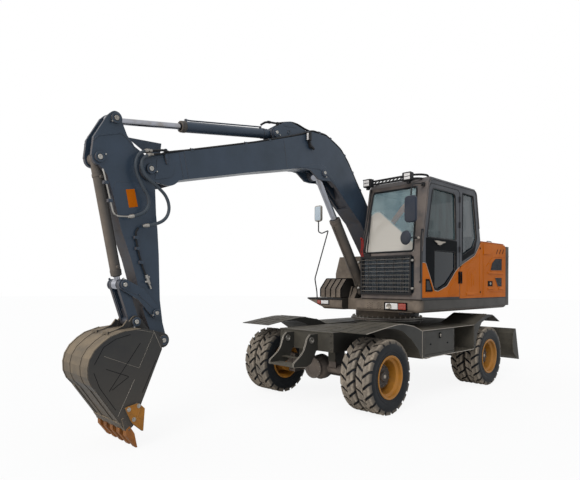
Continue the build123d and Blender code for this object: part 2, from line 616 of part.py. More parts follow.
def boom():
    shape = side_plate([*BOOM_TOP, *BOOM_BOTTOM], BOOM_X - BOOM_HALF, BOOM_X + BOOM_HALF)
    shape += cross_pin(BOOM_FOOT, BOOM_X - BOOM_HALF, BOOM_X + BOOM_HALF, 125)
    tip = strap(ARM_PIN, 125, (-4150, 2945), 182, BOOM_X - BOOM_HALF, BOOM_X + BOOM_HALF)
    shape += tip
    slot = ARM_HALF + CLEAR
    shape -= box(BOOM_X - slot, BOOM_X + slot, -4600, -4090, 2600, 3400)
    shape += cross_pin(ARM_PIN, BOOM_X - BOOM_HALF - 18, BOOM_X + BOOM_HALF + 18, 36)
    shape -= cross_pin(BOOM_FOOT, BOOM_X - 200, BOOM_X + 200, 40 + PIN_FIT)
    top_ear = [(-2520, 3560), (-2440, 3640), (-2400, 3790), (-2210, 3900), (-2129, 3920),
               (-1986, 3900), (-1700, 3840), (-1700, 3700), (-2500, 3540)]
    low_ear = [(-1876, 3309), (-1740, 3300), (-1573, 3200), (-1444, 3192), (-1290, 3205),
               (-1150, 3128), (-1100, 3200), (-1300, 3420), (-1700, 3440)]
    ears = []
    for side in (-1, 1):
        a = BOOM_X + side * (62 + CLEAR)
        ear = side_plate(top_ear, a, a + side * 22, 8) + cross_pin(ARM_CYL_FOOT, a, a + side * 22, 75)
        shape += ear + cross_pin(ARM_CYL_FOOT, a, a + side * 45, 60)
        a = BOOM_X + side * BOOM_HALF
        ears.append(side_plate(low_ear, a, a - side * 26, 8))
        ears.append(cross_pin(BOOM_CYL_EYE, BOOM_X + side * (55 + CLEAR), a, 88))
        ears.append(cross_pin(BOOM_CYL_EYE, a, a + side * 14, 52))
    cut = 62 + CLEAR
    shape -= cross_pin(ARM_CYL_FOOT, BOOM_X - cut, BOOM_X + cut, 95)
    shape += cross_pin(ARM_CYL_FOOT, BOOM_X - 100, BOOM_X + 100, 32)
    room = [(-1690, 3180), (-1690, 3420), (-1560, 3540), (-1300, 3560), (-1080, 3400),
            (-960, 3180), (-900, 2900), (-1150, 2900)]
    shape -= side_plate(room, BOOM_X - 60, BOOM_X + 60)
    relief = [(-1200, 3080), (-1130, 3170), (-800, 2880), (-860, 2780)]
    shape -= side_plate(relief, BOOM_X - 92, BOOM_X + 92)
    for ear in ears:
        shape += ear
    guard = [(-4085, 3140), (-4200, 3120), (-4505, 3290), (-4063, 3301)]
    return shape + side_plate(guard, BOOM_X - BOOM_HALF, BOOM_X - BOOM_HALF + 10)


ARM_FRONT = [(-4862, 2791), (-4779, 2545), (-4701, 2243), (-4580, 1935), (-4516, 1724),
             (-4468, 1511), (-4420, 1348), (-4290, 1030)]
ARM_REAR = [(-4130, 1040), (-4190, 1250), (-4225, 1500), (-4241, 1999), (-4259, 2272),
            (-4277, 2435), (-4290, 2705), (-4260, 2850)]


def arm():
    top = [(-4400, 3050), (-4485, 3099), (-4545, 3131), (-4600, 3200), (-4980, 3200), (-5010, 2950)]
    x0, x1 = BOOM_X - ARM_HALF, BOOM_X + ARM_HALF
    shape = side_plate([*ARM_FRONT, *ARM_REAR, *top], x0, x1)
    shape += cross_pin(ARM_PIN, x0, x1, 122)
    shape += cross_pin(BUCKET_PIN, x0, x1, 78)
    ear = [(-4500, 3080), (-4633, 3231), (-4690, 3354), (-4765, 3457), (-4850, 3406),
           (-5006, 3150), (-5030, 2960), (-4945, 2875), (-4862, 2791), (-4700, 2900)]
    inner = 60 + CLEAR
    shape -= side_plate([(-5200, 2200), (-4706, 2200), (-4770, 2560), (-4775, 2900), (-4540, 3110),
                         (-4540, 3600), (-5200, 3600)], BOOM_X - inner, BOOM_X + inner)
    for side in (-1, 1):
        a = BOOM_X + side * inner
        b = BOOM_X + side * ARM_HALF
        plate = side_plate(ear, a, b) + cross_pin(ARM_CYL_EYE, a, b, 75)
        plate += cross_pin(BUCKET_CYL_FOOT, a, b, 78)
        plate += cross_pin(ARM_CYL_EYE, b, b + side * 14, 52)
        plate += cross_pin(BUCKET_CYL_FOOT, b, b + side * 14, 52)
        shape += plate
        shape += cross_pin(ROCKER_PIN, b, b + side * 45, 34)
    shape += cross_pin(BUCKET_CYL_FOOT, BOOM_X - inner, BOOM_X + inner, 30)
    shape -= cross_pin(ARM_PIN, x0 - 10, x1 + 10, 36 + PIN_FIT)
    shape -= cross_pin(BUCKET_PIN, x0 - 10, x1 + 10, 34 + PIN_FIT)
    return shape


def barrel(foot, eye, length, r, rod_r, half, pin_r, neck):
    """Cylinder barrel: the eye on its foot pin, and a bore that the rod slides in."""
    start, end = toward(foot, eye, neck), toward(foot, eye, length)
    shape = bar((BOOM_X, *start), (BOOM_X, *end), r)
    shape += cross_pin(foot, BOOM_X - half, BOOM_X + half, pin_r * 2)
    shape += bar((BOOM_X, *foot), (BOOM_X, *start), min(half, r) - 4)
    shape -= cross_pin(foot, BOOM_X - half - 5, BOOM_X + half + 5, pin_r + PIN_FIT)
    shape -= bar((BOOM_X, *toward(foot, eye, neck + 60)), (BOOM_X, *end), rod_r + 0.3)
    return shape


def cylinder_rod(foot, eye, start_at, r, half, eye_r, bore):
    start = toward(foot, eye, start_at)
    near = toward(eye, foot, eye_r * 0.6)
    rod = bar((BOOM_X, *start), (BOOM_X, *near), r)
    rod += cross_pin(eye, BOOM_X - half, BOOM_X + half, eye_r)
    return rod - cross_pin(eye, BOOM_X - half - 5, BOOM_X + half + 5, bore)


def rockers():
    """Two bent plates from the arm to the eye of the bucket cylinder."""
    plates = []
    for side in (-1, 1):
        a = BOOM_X + side * (ARM_HALF + CLEAR)
        b = a + side * 26
        knee = (-4470, 1560)
        plate = strap(ROCKER_PIN, 62, knee, 66, a, b) + strap(knee, 66, ROCKER_EYE, 60, a, b)
        plate += cross_pin(ROCKER_EYE, b, b + side * 14, 46)
        plate -= cross_pin(ROCKER_PIN, a - side * 10, b + side * 20, 34 + PIN_FIT)
        plates.append(plate)
    return plates


def bucket_link():
    """Link from the bucket to the eye: two plates joined by a web near the bucket."""
    shape = None
    for side in (-1, 1):
        a = BOOM_X + side * 62
        plate = strap(LINK_PIN, 56, ROCKER_EYE, 56, a, BOOM_X + side * 106)
        shape = plate if shape is None else shape + plate
    low = toward(LINK_PIN, ROCKER_EYE, 40)
    high = toward(LINK_PIN, ROCKER_EYE, 130)
    web = strap(low, 22, high, 22, BOOM_X - 70, BOOM_X + 70)
    shape += web + cross_pin(LINK_PIN, BOOM_X - 106, BOOM_X + 106, 56)
    return shape - cross_pin(LINK_PIN, BOOM_X - 120, BOOM_X + 120, 30 + PIN_FIT)


BUCKET_SHELL = [(-4423, 1190), (-4577, 1217), (-4748, 1202), (-4912, 1155), (-4997, 1103),
                (-5080, 1033), (-5131, 953), (-5151, 870), (-5146, 774), (-5111, 694),
                (-5040, 616), (-4730, 190)]


def bucket():
    """Open bucket: a rolled shell between two side plates, its ears, lip, teeth and cutters."""
    x0, x1 = BOOM_X - BUCKET_HALF, BOOM_X + BUCKET_HALF
    outline = [*BUCKET_SHELL, (-4662, 240), (-4569, 454), (-4326, 984), (-4310, 1080)]
    shape = side_plate(outline, x0, x1)
    around = [(-4250, 1190), (-4100, 1000), (-4560, 100), *reversed(BUCKET_SHELL)]
    shape -= side_plate(offset_polygon(around, 18), x0 + 18, x1 - 18)
    for side in (-1, 1):
        a = BOOM_X + side * (ARM_HALF + CLEAR)
        b = a + side * 26
        ear = side_plate([(-4880, 1140), (-4640, 1190), (-4610, 1290), (-4540, 1340), (-4470, 1300),
                          (-4380, 1180), (-4201, 1140), (-4190, 975), (-4310, 1000), (-4400, 1170),
                          (-4600, 1170), (-4880, 1130)], a, b)
        ear += cross_pin(LINK_PIN, a, b, 62) + cross_pin(BUCKET_PIN, a, b, 78)
        ear += cross_pin(LINK_PIN, b, b + side * 14, 46) + cross_pin(BUCKET_PIN, b, b + side * 14, 56)
        shape += ear
    shape += cross_pin(LINK_PIN, BOOM_X - 115, BOOM_X + 115, 30)
    shape += cross_pin(BUCKET_PIN, BOOM_X - 115, BOOM_X + 115, 34)
    lip = [(-4755, 235), (-4690, 130), (-4668, 140), (-4700, 250)]
    shape += side_plate(lip, x0, x1)
    tooth = [(-4745, 215), (-4708, 240), (-4660, 160), (-4626, GROUND_GAP), (-4636, GROUND_GAP),
             (-4740, 150)]
    for i in range(-2, 3):
        x = BOOM_X + i * TOOTH_PITCH
        shape += side_plate(tooth, x - 30, x + 30)
    cutter = [(-4768, 433), (-4621, 464), (-4540, 400), (-4559, 173), (-4576, 176), (-4679, 262)]
    for side in (-1, 1):
        a = BOOM_X + side * BUCKET_HALF
        shape += side_plate(cutter, a, a + side * 18)
    return shape


# ---- hoses -------------------------------------------------------------------------------------
HOSE_R = 18
HOSES = {
    "arm_hose": ((22, -4421, 3097), (40, -4530, 3060), (45, -4585, 2960), (45, -4580, 2840),
                 (45, -4500, 2700), (45, -4425, 2600), (45, -4425, 2480), (40, -4510, 2400),
                 (20, -4640, 2372)),
    "bucket_hose": ((22, -4400, 3060), (60, -4500, 3010), (72, -4540, 2910), (72, -4480, 2800),
                    (72, -4340, 2720), (72, -4220, 2630), (72, -4175, 2500), (72, -4220, 2380),
                    (50, -4340, 2310), (20, -4460, 2292)),
}


def hose(points):
    """A tube along straight runs joined by arcs as large as the runs allow."""
    radii = []
    for a, b, c in zip(points, points[1:], points[2:]):
        run1, run2 = Vector(*b) - Vector(*a), Vector(*c) - Vector(*b)
        turn = math.radians(run1.get_angle(run2))
        radii.append(0.45 * min(run1.length, run2.length) / math.tan(turn / 2))
    print("hose radii", [round(r) for r in radii])
    path = FilletPolyline(*points, radius=radii)
    profile = Plane(origin=path @ 0, z_dir=path % 0) * Circle(HOSE_R)
    return sweep(profile, path=path)


# ---- everything --------------------------------------------------------------------------------
def main():
    os.makedirs("parts", exist_ok=True)
    save("chassis_frame", chassis_frame())
    save("slew_ring", slew_ring())
    save("toolboxes", toolbox(), mirror_x(toolbox()))
    save("left_toolbox_door", toolbox_door())
    save("right_toolbox_door", mirror_x(toolbox_door()))
    save("front_fenders", front_fender(), mirror_x(front_fender()))
    save("rear_fenders", rear_fender(), mirror_x(rear_fender()))
    save("front_step", front_step())
    save("front_axle", front_axle())
    save("rear_axle", rear_axle())
    save("drive_line", drive_line())
    save("left_knuckle", knuckle(1))
    save("right_knuckle", knuckle(-1))
    save("tie_rod", tie_rod())
    for end, y in (("front", -WHEELBASE / 2), ("rear", WHEELBASE / 2)):
        for side_name, side in (("left", 1), ("right", -1)):
            save(f"{end}_{side_name}_tyres", *tyre_pair(side, y))
            save(f"{end}_{side_name}_rims", rim_pair(side, y))
    save("dozer_blade", dozer_blade())
    save("blade_cylinder_barrels", *blade_cylinder_barrels())
    save("blade_cylinder_rods", *blade_cylinder_rods())
    save("platform", platform())
    save("counterweight", counterweight())
    save("cab_frame", cab_frame())
    save("cab_glazing", *cab_glazing())
    save("cab_door", cab_door())
    save("cab_door_glass", *cab_door_glass())
    save("front_grille", front_grille())
    save("seat", seat())
    save("cab_controls", *cab_controls())
    save("engine_block", engine_block())
    save("engine_bay", engine_bay())
    save("right_tanks", *right_tanks())
    save("right_front_cover", right_front_cover())
    save("left_service_door", side_plate(LEFT_SERVICE, SIDE_X - 32, SIDE_X))
    save("left_rear_door", side_plate(REAR_PANEL, SIDE_X - 32, SIDE_X))
    save("right_rear_door", side_plate(REAR_PANEL, RIGHT_X, RIGHT_X + 12))
    save("engine_hood", engine_hood())
    save("right_top_cover", right_top_cover())
    save("exhaust", exhaust())
    save("mirrors", *mirrors())
    save("lamps", *lamps())
    save("boom", boom())
    save("arm", arm())
    save("bucket", bucket())
    save("rockers", *rockers())
    save("bucket_link", bucket_link())
    save("boom_cylinder_barrel", barrel(BOOM_CYL_FOOT, BOOM_CYL_EYE, 1347, 82, 48, 55, 36, 125))
    save("boom_cylinder_rod", cylinder_rod(BOOM_CYL_FOOT, BOOM_CYL_EYE, 800, 48, 55, 85, 38))
    save("arm_cylinder_barrel", barrel(ARM_CYL_FOOT, ARM_CYL_EYE, 1500, 64, 35, 62, 32, 90))
    save("arm_cylinder_rod", cylinder_rod(ARM_CYL_FOOT, ARM_CYL_EYE, 900, 35, 55, 68, 32))
    save("bucket_cylinder_barrel", barrel(BUCKET_CYL_FOOT, ROCKER_EYE, 1215, 57, 32, 60, 30, 80))
    save("bucket_cylinder_rod", cylinder_rod(BUCKET_CYL_FOOT, ROCKER_EYE, 180, 32, 52, 58, 31))
    for name, points in HOSES.items():
        save(name, hose(points))


main()
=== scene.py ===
"""Wheeled excavator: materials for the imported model, and the finer pieces that ride on it."""
import math
import bpy
import bmesh
from mathutils import Matrix, Vector


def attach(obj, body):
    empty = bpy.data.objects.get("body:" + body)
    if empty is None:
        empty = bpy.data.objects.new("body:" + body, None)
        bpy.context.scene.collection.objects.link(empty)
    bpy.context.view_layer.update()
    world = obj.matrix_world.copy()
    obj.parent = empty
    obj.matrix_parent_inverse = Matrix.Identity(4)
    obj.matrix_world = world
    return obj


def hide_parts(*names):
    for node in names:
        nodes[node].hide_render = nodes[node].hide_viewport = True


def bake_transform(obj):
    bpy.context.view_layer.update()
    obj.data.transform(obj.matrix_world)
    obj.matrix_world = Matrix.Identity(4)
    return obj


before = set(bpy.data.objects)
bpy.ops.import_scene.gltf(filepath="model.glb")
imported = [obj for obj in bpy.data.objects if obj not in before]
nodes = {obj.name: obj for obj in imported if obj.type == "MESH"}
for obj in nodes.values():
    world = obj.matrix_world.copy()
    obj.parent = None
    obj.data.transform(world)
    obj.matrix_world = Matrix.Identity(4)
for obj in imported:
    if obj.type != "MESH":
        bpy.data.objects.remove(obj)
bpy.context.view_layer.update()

# ---- camera ------------------------------------------------------------------------------------
def set_camera():
    scene = bpy.context.scene
    eye = bpy.data.objects.new("camera", bpy.data.cameras.new("camera"))
    scene.collection.objects.link(eye)
    eye.location = (4.5944, -6.0151, 1.6858)
    eye.rotation_euler = (math.radians(90), -0.004, math.radians(49.64))
    eye.data.lens, eye.data.sensor_width = 30.63, 36
    eye.data.shift_x, eye.data.shift_y = 0.1041, 0.0746
    eye.data.clip_end = 300
    scene.camera = eye


set_camera()

# ---- places and shapes -------------------------------------------------------------------------
AXLE_SHIFT = 1144.5        # from midway between the axles to the frame's origin, in millimetres
ORIGIN, ALONG_X = Vector((0, 0, 0)), Vector((1, 0, 0))
SIDES = ((1, "left"), (-1, "right"))


def at(x, y, z):
    """The frame's point for a place in millimetres, where y = 0 is midway between the axles."""
    return Vector((x, y + AXLE_SHIFT, z)) / 1000


def side_points(x, outline):
    """The frame's points for (y, z) places at one x."""
    return [at(x, y, z) for y, z in outline]


def way(x, y, z):
    """A direction or a distance in millimetres."""
    return Vector((x, y, z)) / 1000


def clear():
    if bpy.context.object and bpy.context.object.mode != "OBJECT":
        bpy.ops.object.mode_set(mode="OBJECT")
    bpy.ops.object.select_all(action="DESELECT")


def use(piece):
    """Selects one piece alone and makes it active."""
    clear()
    piece.select_set(True)
    bpy.context.view_layer.objects.active = piece


def named(name):
    piece = bpy.context.object
    piece.name = name
    return piece


def open_up(piece):
    """Puts one piece in edit mode with all of it selected."""
    use(piece)
    bpy.ops.object.mode_set(mode="EDIT")
    bpy.ops.mesh.select_mode(type="VERT")
    take_all()


def take_all():
    bpy.ops.mesh.select_all(action="SELECT")


def shut():
    bpy.ops.object.mode_set(mode="OBJECT")


def pick(piece, kind, test):
    """In edit mode, selects only the faces, edges or corners that pass the test."""
    bpy.ops.mesh.select_mode(type={"faces": "FACE", "edges": "EDGE", "verts": "VERT"}[kind])
    bpy.ops.mesh.select_all(action="DESELECT")
    shape = bmesh.from_edit_mesh(piece.data)
    for part in getattr(shape, kind):
        part.select_set(bool(test(part)))
    bmesh.update_edit_mesh(piece.data)


def recess(piece, test, rim, depth):
    """Insets the faces that pass the test by a rim and sets them back."""
    open_up(piece)
    pick(piece, "faces", test)
    bpy.ops.mesh.inset(thickness=rim / 1000, depth=-depth / 1000)
    shut()


def soften(offset, segments=2, sharp=0.6):
    """Bevels the sharp edges of the piece in edit mode."""
    bpy.ops.mesh.select_mode(type="EDGE")
    bpy.ops.mesh.select_all(action="DESELECT")
    bpy.ops.mesh.edges_select_sharp(sharpness=sharp)
    bpy.ops.mesh.bevel(offset=offset / 1000, segments=segments, affect="EDGES")
    bpy.ops.mesh.select_mode(type="VERT")


def drawn(name, corners, closed=True, bend=0):
    """A line drawn from corner to corner by extruding a point, left in edit mode."""
    clear()
    bpy.ops.mesh.primitive_plane_add(size=0.01, location=corners[0])
    piece = named(name)
    bpy.ops.object.transform_apply(location=True, rotation=False, scale=False)
    open_up(piece)
    bpy.ops.mesh.merge(type="CENTER")
    for a, b in zip(corners, corners[1:]):
        bpy.ops.mesh.extrude_vertices_move(TRANSFORM_OT_translate={"value": b - a})
    take_all()
    if closed:
        bpy.ops.mesh.edge_face_add()
        bpy.ops.mesh.delete(type="ONLY_FACE")
        take_all()
    if bend:
        if not closed:
            ends = (corners[0], corners[-1])
            pick(piece, "verts", lambda v: min((v.co - e).length for e in ends) > 1e-5)
        bpy.ops.mesh.bevel(offset=bend / 1000, segments=4, affect="VERTICES")
        take_all()
    return piece


def plate(name, corners, depth, edge=2, bend=0, segments=2):
    """A plate of that outline, as deep as the distance, with bevelled edges."""
    piece = drawn(name, corners, bend=bend)
    bpy.ops.mesh.edge_face_add()
    bpy.ops.mesh.extrude_region_move(TRANSFORM_OT_translate={"value": depth})
    take_all()
    bpy.ops.mesh.normals_make_consistent(inside=False)
    if edge:
        soften(edge, segments)
    shut()
    return piece


def side_plate(name, outline, x0, x1, edge=2, bend=0, segments=2):
    """A plate with a (y, z) outline, from x0 to x1."""
    return plate(name, side_points(x0, outline), way(x1 - x0, 0, 0), edge, bend, segments)


def front_plate(name, outline, y0, y1, edge=2, bend=0, segments=2):
    """A plate with an (x, z) outline, from y0 to y1."""
    return plate(name, [at(x, y0, z) for x, z in outline], way(0, y1 - y0, 0), edge, bend, segments)


def block(name, x0, x1, y0, y1, z0, z1, edge=3, segments=2):
    """A bevelled box between two corners."""
    clear()
    low, high = at(x0, y0, z0), at(x1, y1, z1)
    bpy.ops.mesh.primitive_cube_add(size=1, location=(low + high) / 2, scale=high - low)
    piece = named(name)
    bpy.ops.object.transform_apply(location=True, rotation=True, scale=True)
    open_up(piece)
    bpy.ops.mesh.bevel(offset=edge / 1000, segments=segments, affect="EDGES")
    shut()
    return piece


def rod(name, a, b, r, edge=2, sides=24, segments=2):
    """A round bar from a to b with bevelled ends."""
    clear()
    along = b - a
    bpy.ops.mesh.primitive_cylinder_add(vertices=sides, radius=r / 1000, depth=along.length,
                                        location=(a + b) / 2,
                                        rotation=along.to_track_quat("Z", "Y").to_euler())
    piece = named(name)
    bpy.ops.object.transform_apply(location=True, rotation=True, scale=True)
    open_up(piece)
    if edge:
        soften(edge, segments, 1.0)
    shut()
    return piece


def pipe(name, points, r, bend=20, sides=3):
    """A round pipe along corners that are bent to a radius."""
    piece = drawn(name, points, closed=False, bend=bend)
    shut()
    bpy.ops.object.convert(target="CURVE")
    piece = bpy.context.object
    piece.data.bevel_depth = r / 1000
    piece.data.bevel_resolution = sides
    piece.data.use_fill_caps = True
    bpy.ops.object.convert(target="MESH")
    piece = bpy.context.object
    smooth(piece, 50)
    return piece


def turned(name, profile, centre, axis, steps=48):
    """A round piece: its (along, radius) profile spun about an axis through the centre."""
    axis = Vector(axis).normalized()
    side = axis.orthogonal().normalized()
    line = [centre + axis * s / 1000 + side * r / 1000 for s, r in profile]
    piece = drawn(name, line, closed=False)
    bpy.ops.mesh.spin(steps=steps, angle=2 * math.pi, center=centre, axis=axis)
    take_all()
    bpy.ops.mesh.remove_doubles(threshold=0.0001)
    bpy.ops.mesh.normals_make_consistent(inside=False)
    shut()
    smooth(piece, 35)
    return piece


def smooth(piece, angle=35):
    use(piece)
    bpy.ops.object.shade_smooth_by_angle(angle=math.radians(angle))


def drop(*pieces):
    for piece in pieces:
        bpy.data.objects.remove(piece)


def copied(piece, places, keep=False):
    """Copies of a piece, each with its own mesh, put in place by matrices."""
    made = []
    for place in places:
        new = piece.copy()
        new.data = piece.data.copy()
        new.data.transform(place)
        if place.determinant() < 0:
            new.data.flip_normals()
        bpy.context.scene.collection.objects.link(new)
        made.append(new)
    if not keep:
        drop(piece)
    return made


def joined(name, pieces):
    clear()
    for piece in pieces:
        piece.select_set(True)
    bpy.context.view_layer.objects.active = pieces[0]
    if len(pieces) > 1:
        bpy.ops.object.join()
    return named(name)


def finish(piece, material, body="upper_body"):
    """Gives a piece its material and the CAD body it rides on."""
    piece.data.materials.clear()
    piece.data.materials.append(material)
    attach(piece, body)
    return piece


def fit(name, pieces, material, body="upper_body"):
    """Joins pieces under a name and finishes them as one."""
    return finish(joined(name, pieces), material, body)


def placed(piece, name, place, material, body):
    """A finished copy of a piece, put in place under a name of its own."""
    new = copied(piece, [place], keep=True)[0]
    new.name = name
    return finish(new, material, body)


# ---- effects shared by the finishes ------------------------------------------------------------
def rgb(code):
    """A colour written as six hex digits, as the linear values that Blender uses."""
    parts = [int(code[i:i + 2], 16) / 255 for i in (0, 2, 4)]
    return (*[p / 12.92 if p <= 0.04045 else ((p + 0.055) / 1.055) ** 2.4 for p in parts], 1.0)


def fill(made, values):
    """Sets a node's inputs to values, or links them from other nodes' outputs."""
    for key, value in values.items():
        if isinstance(value, bpy.types.NodeSocket):
            made.id_data.links.new(value, made.inputs[key])
        else:
            made.inputs[key].default_value = value
    return made


def node(tree, kind, values=None, **settings):
    """A shader node with its settings and its inputs."""
    made = tree.nodes.new("ShaderNode" + kind)
    for key, value in settings.items():
        setattr(made, key, value)
    return fill(made, values or {})


def maths(tree, operation, a, b, **settings):
    return node(tree, "Math", {0: a, 1: b}, operation=operation, **settings).outputs[0]


def ranged(tree, value, low=0.0, high=1.0, start=0.0, end=1.0):
    """A value moved from between low and high to between start and end."""
    return node(tree, "MapRange", {"Value": value, "From Min": low, "From Max": high,
                                   "To Min": start, "To Max": end}).outputs[0]


def between(tree, factor, a, b):
    return node(tree, "Mix", {0: factor, 2: a, 3: b}).outputs[0]


def mixed(tree, factor, a, b):
    """The colour between a and b."""
    return node(tree, "Mix", {0: factor, 6: a, 7: b}, data_type="RGBA").outputs[2]


def reach(tree, vector, direction):
    """How far a vector reaches in a direction."""
    return node(tree, "VectorMath", {0: vector, 1: direction},
                operation="DOT_PRODUCT").outputs["Value"]


def part_of(tree, vector, axis="Z"):
    return node(tree, "SeparateXYZ", {0: vector}).outputs[axis]


def object_place(tree):
    return node(tree, "TexCoord").outputs["Object"]


def clouds(tree, place, scale, detail, roughness=0.5):
    return node(tree, "TexNoise", {"Vector": place, "Scale": scale, "Detail": detail,
                                   "Roughness": roughness}).outputs[0]


def new_effect(name, inputs, outputs):
    tree = bpy.data.node_groups.new(name, "ShaderNodeTree")
    for label, kind, value in inputs:
        socket = tree.interface.new_socket(label, in_out="INPUT", socket_type="NodeSocket" + kind)
        socket.default_value = value
    for label, kind in outputs:
        tree.interface.new_socket(label, in_out="OUTPUT", socket_type="NodeSocket" + kind)
    return tree, tree.nodes.new("NodeGroupInput").outputs, tree.nodes.new("NodeGroupOutput")


def make_blotches():
    """Uneven patches: 0 to 1 where the noise passes between Low and High."""
    tree, given, gives = new_effect(
        "blotches", [("Scale", "Float", 3.0), ("Low", "Float", 0.4), ("High", "Float", 0.7),
                     ("Stretch", "Vector", (1, 1, 1))], [("Mask", "Float")])
    place = node(tree, "Mapping", {"Vector": object_place(tree), "Scale": given["Stretch"]})
    noise = clouds(tree, place.outputs["Vector"], given["Scale"], 6.0, 0.6)
    fill(gives, {"Mask": ranged(tree, noise, given["Low"], given["High"])})
    return tree


def make_road_dust():
    """Dry dust that lies on top and has settled on the faces turned the way that is given."""
    tree, given, gives = new_effect(
        "road_dust", [("Toward", "Vector", (0, -1, 0)), ("Facing", "Float", 0.5),
                      ("Top", "Float", 0.4), ("Low Down", "Float", 0.3), ("Scale", "Float", 5.0)],
        [("Mask", "Float")])
    coords = node(tree, "TexCoord").outputs
    facing, top, low = [
        maths(tree, "MULTIPLY", ranged(tree, value, start, end), given[share])
        for value, start, end, share in (
            (reach(tree, coords["Normal"], given["Toward"]), 0.05, 1.0, "Facing"),
            (part_of(tree, coords["Normal"]), 0.3, 0.95, "Top"),
            (part_of(tree, coords["Object"]), 1.1, 0.2, "Low Down"))]
    total = maths(tree, "ADD", maths(tree, "ADD", facing, top), low)
    noise = clouds(tree, coords["Object"], given["Scale"], 8.0, 0.65)
    noise = ranged(tree, noise, 0.3, 0.65, 0.35, 1.0)
    fill(gives, {"Mask": maths(tree, "MULTIPLY", total, noise, use_clamp=True)})
    return tree


def make_worn_edges():
    """Rounds sharp edges for the light, and gives a broken mask along them."""
    tree, given, gives = new_effect(
        "worn_edges", [("Radius", "Float", 0.004), ("Amount", "Float", 1.0),
                       ("Scale", "Float", 40.0)], [("Mask", "Float"), ("Normal", "Vector")])
    rounded = node(tree, "Bevel", {"Radius": given["Radius"]}, samples=4).outputs["Normal"]
    flat = node(tree, "NewGeometry").outputs["Normal"]
    edge = ranged(tree, reach(tree, rounded, flat), 0.995, 0.9)
    broken = ranged(tree, clouds(tree, object_place(tree), given["Scale"], 4.0), 0.42, 0.6)
    mask = maths(tree, "MULTIPLY", edge, broken)
    mask = maths(tree, "MULTIPLY", mask, given["Amount"], use_clamp=True)
    fill(gives, {"Mask": mask, "Normal": rounded})
    return tree


def make_grain():
    """Fine unevenness of a sprayed, cast or moulded skin, as a height."""
    tree, given, gives = new_effect(
        "grain", [("Scale", "Float", 300.0), ("Coarse", "Float", 0.3)], [("Height", "Float")])
    place = object_place(tree)
    fine, wide = clouds(tree, place, given["Scale"], 3.0), clouds(tree, place, 9.0, 2.0)
    fill(gives, {"Height": between(tree, given["Coarse"], fine, wide)})
    return tree


blotches, road_dust = make_blotches(), make_road_dust()
worn_edges, grain = make_worn_edges(), make_grain()


def effect(tree, group, values):
    made = tree.nodes.new("ShaderNodeGroup")
    made.node_tree = group
    return fill(made, values).outputs


def skin_bump(tree, strength, scale, normal=None):
    """The fine skin of a finish, as a normal."""
    values = {"Strength": strength, "Distance": 0.002,
              "Height": effect(tree, grain, {"Scale": scale})["Height"]}
    return node(tree, "Bump", {**values, "Normal": normal} if normal else values).outputs[0]


def new_material(name):
    material = bpy.data.materials.new(name)
    material.use_nodes = True
    tree = material.node_tree
    return material, tree, tree.nodes["Principled BSDF"]


FRONT = (0.0, -0.95, -0.31)


def coated(name, colour, patch, dust=None, rough=0.4, coat=0.0, metal=0.0, toward=FRONT,
           facing=0.5, top=0.35, low=0.3, wear="8C8781", worn=0.5, bump=0.06, skin=300.0,
           patch_scale=2.5, radius=0.004, shine=0.3):
    """A painted, cast or rubber finish with patches, settled dust, worn edges and a fine skin."""
    material, tree, shader = new_material(name)
    patches = effect(tree, blotches, {"Scale": patch_scale, "Low": 0.35, "High": 0.7})["Mask"]
    edges = effect(tree, worn_edges, {"Radius": radius, "Amount": worn})
    shade = mixed(tree, edges["Mask"], mixed(tree, patches, rgb(colour), rgb(patch)), rgb(wear))
    roughness = ranged(tree, patches, start=rough - 0.06, end=rough + 0.06)
    if dust:
        dusty = effect(tree, road_dust, {"Toward": toward, "Facing": facing, "Top": top,
                                         "Low Down": low})["Mask"]
        shade = mixed(tree, dusty, shade, rgb(dust))
        roughness = between(tree, dusty, roughness, 0.85)
    fill(shader, {"Base Color": shade, "Roughness": roughness, "Metallic": metal,
                  "Specular IOR Level": shine, "Coat Weight": coat, "Coat Roughness": 0.15,
                  "Normal": skin_bump(tree, bump, skin, edges["Normal"])})
    return material


def clean(name, colour, patch, **looks):
    """A finish with neither dust nor wear."""
    return coated(name, colour, patch, worn=0.0, **looks)


# ---- finishes ----------------------------------------------------------------------------------
# Its brown dust on faces that look forward and down is partly dust and partly painted light bounced
# up from the ground.
boom_paint = coated("slate_boom_paint", "2D3A49", "27333F", "62544A", rough=0.42, coat=0.08,
                    facing=0.6, top=0.1, wear="6D6A66", worn=0.35)
chassis_paint = coated("charcoal_chassis_paint", "302F2C", "262624", "6E6658", rough=0.5,
                       facing=0.42, top=0.48, low=0.2, wear="8A847B", worn=0.6, shine=0.18)
deck_paint = coated("upper_deck_paint", "36332F", "2D2B29", "8A7B6C", rough=0.48, facing=1.0,
                    top=0.3, low=0.0, wear="7A756E", shine=0.18)
# Its pale dust on faces toward the front is partly dust and partly a painted highlight on the front
# posts.
cab_paint = coated("cab_frame_paint", "36393F", "2F3238", "84766B", rough=0.42, coat=0.05,
                   facing=0.8, top=0.1, low=0.0, wear="66625F", worn=0.3, radius=0.006, shine=0.2)
orange_paint = coated("orange_panel_paint", "B25C06", "A65406", "A06A36", rough=0.42, facing=0.05,
                      top=0.3, low=0.0, wear="C88040", worn=0.35, radius=0.005, shine=0.04)
rim_paint = coated("yellow_rim_paint", "A86E1C", "8E5B18", "7A6340", rough=0.45, coat=0.08,
                   facing=0.2, top=0.1, low=0.15, wear="C09A5C", worn=0.4)
tooth_paint = coated("tooth_paint", "9A5C1C", "6E4220", "6E4E30", rough=0.55, facing=0.3, low=0.2,
                     wear="7F7468", worn=0.7, patch_scale=14)
cutter_paint = coated("side_cutter_paint", "9C6418", "845216", "7A5C34", rough=0.5, facing=0.2,
                      low=0.1, wear="B08B48", patch_scale=8)
bucket_steel = coated("dark_bucket_steel", "363533", "2F2F30", "82735F", rough=0.5, facing=1.0,
                      top=0.25, low=0.2, wear="8E8578", worn=0.6, toward=(0, -0.8, 0.6),
                      patch_scale=5, shine=0.2)
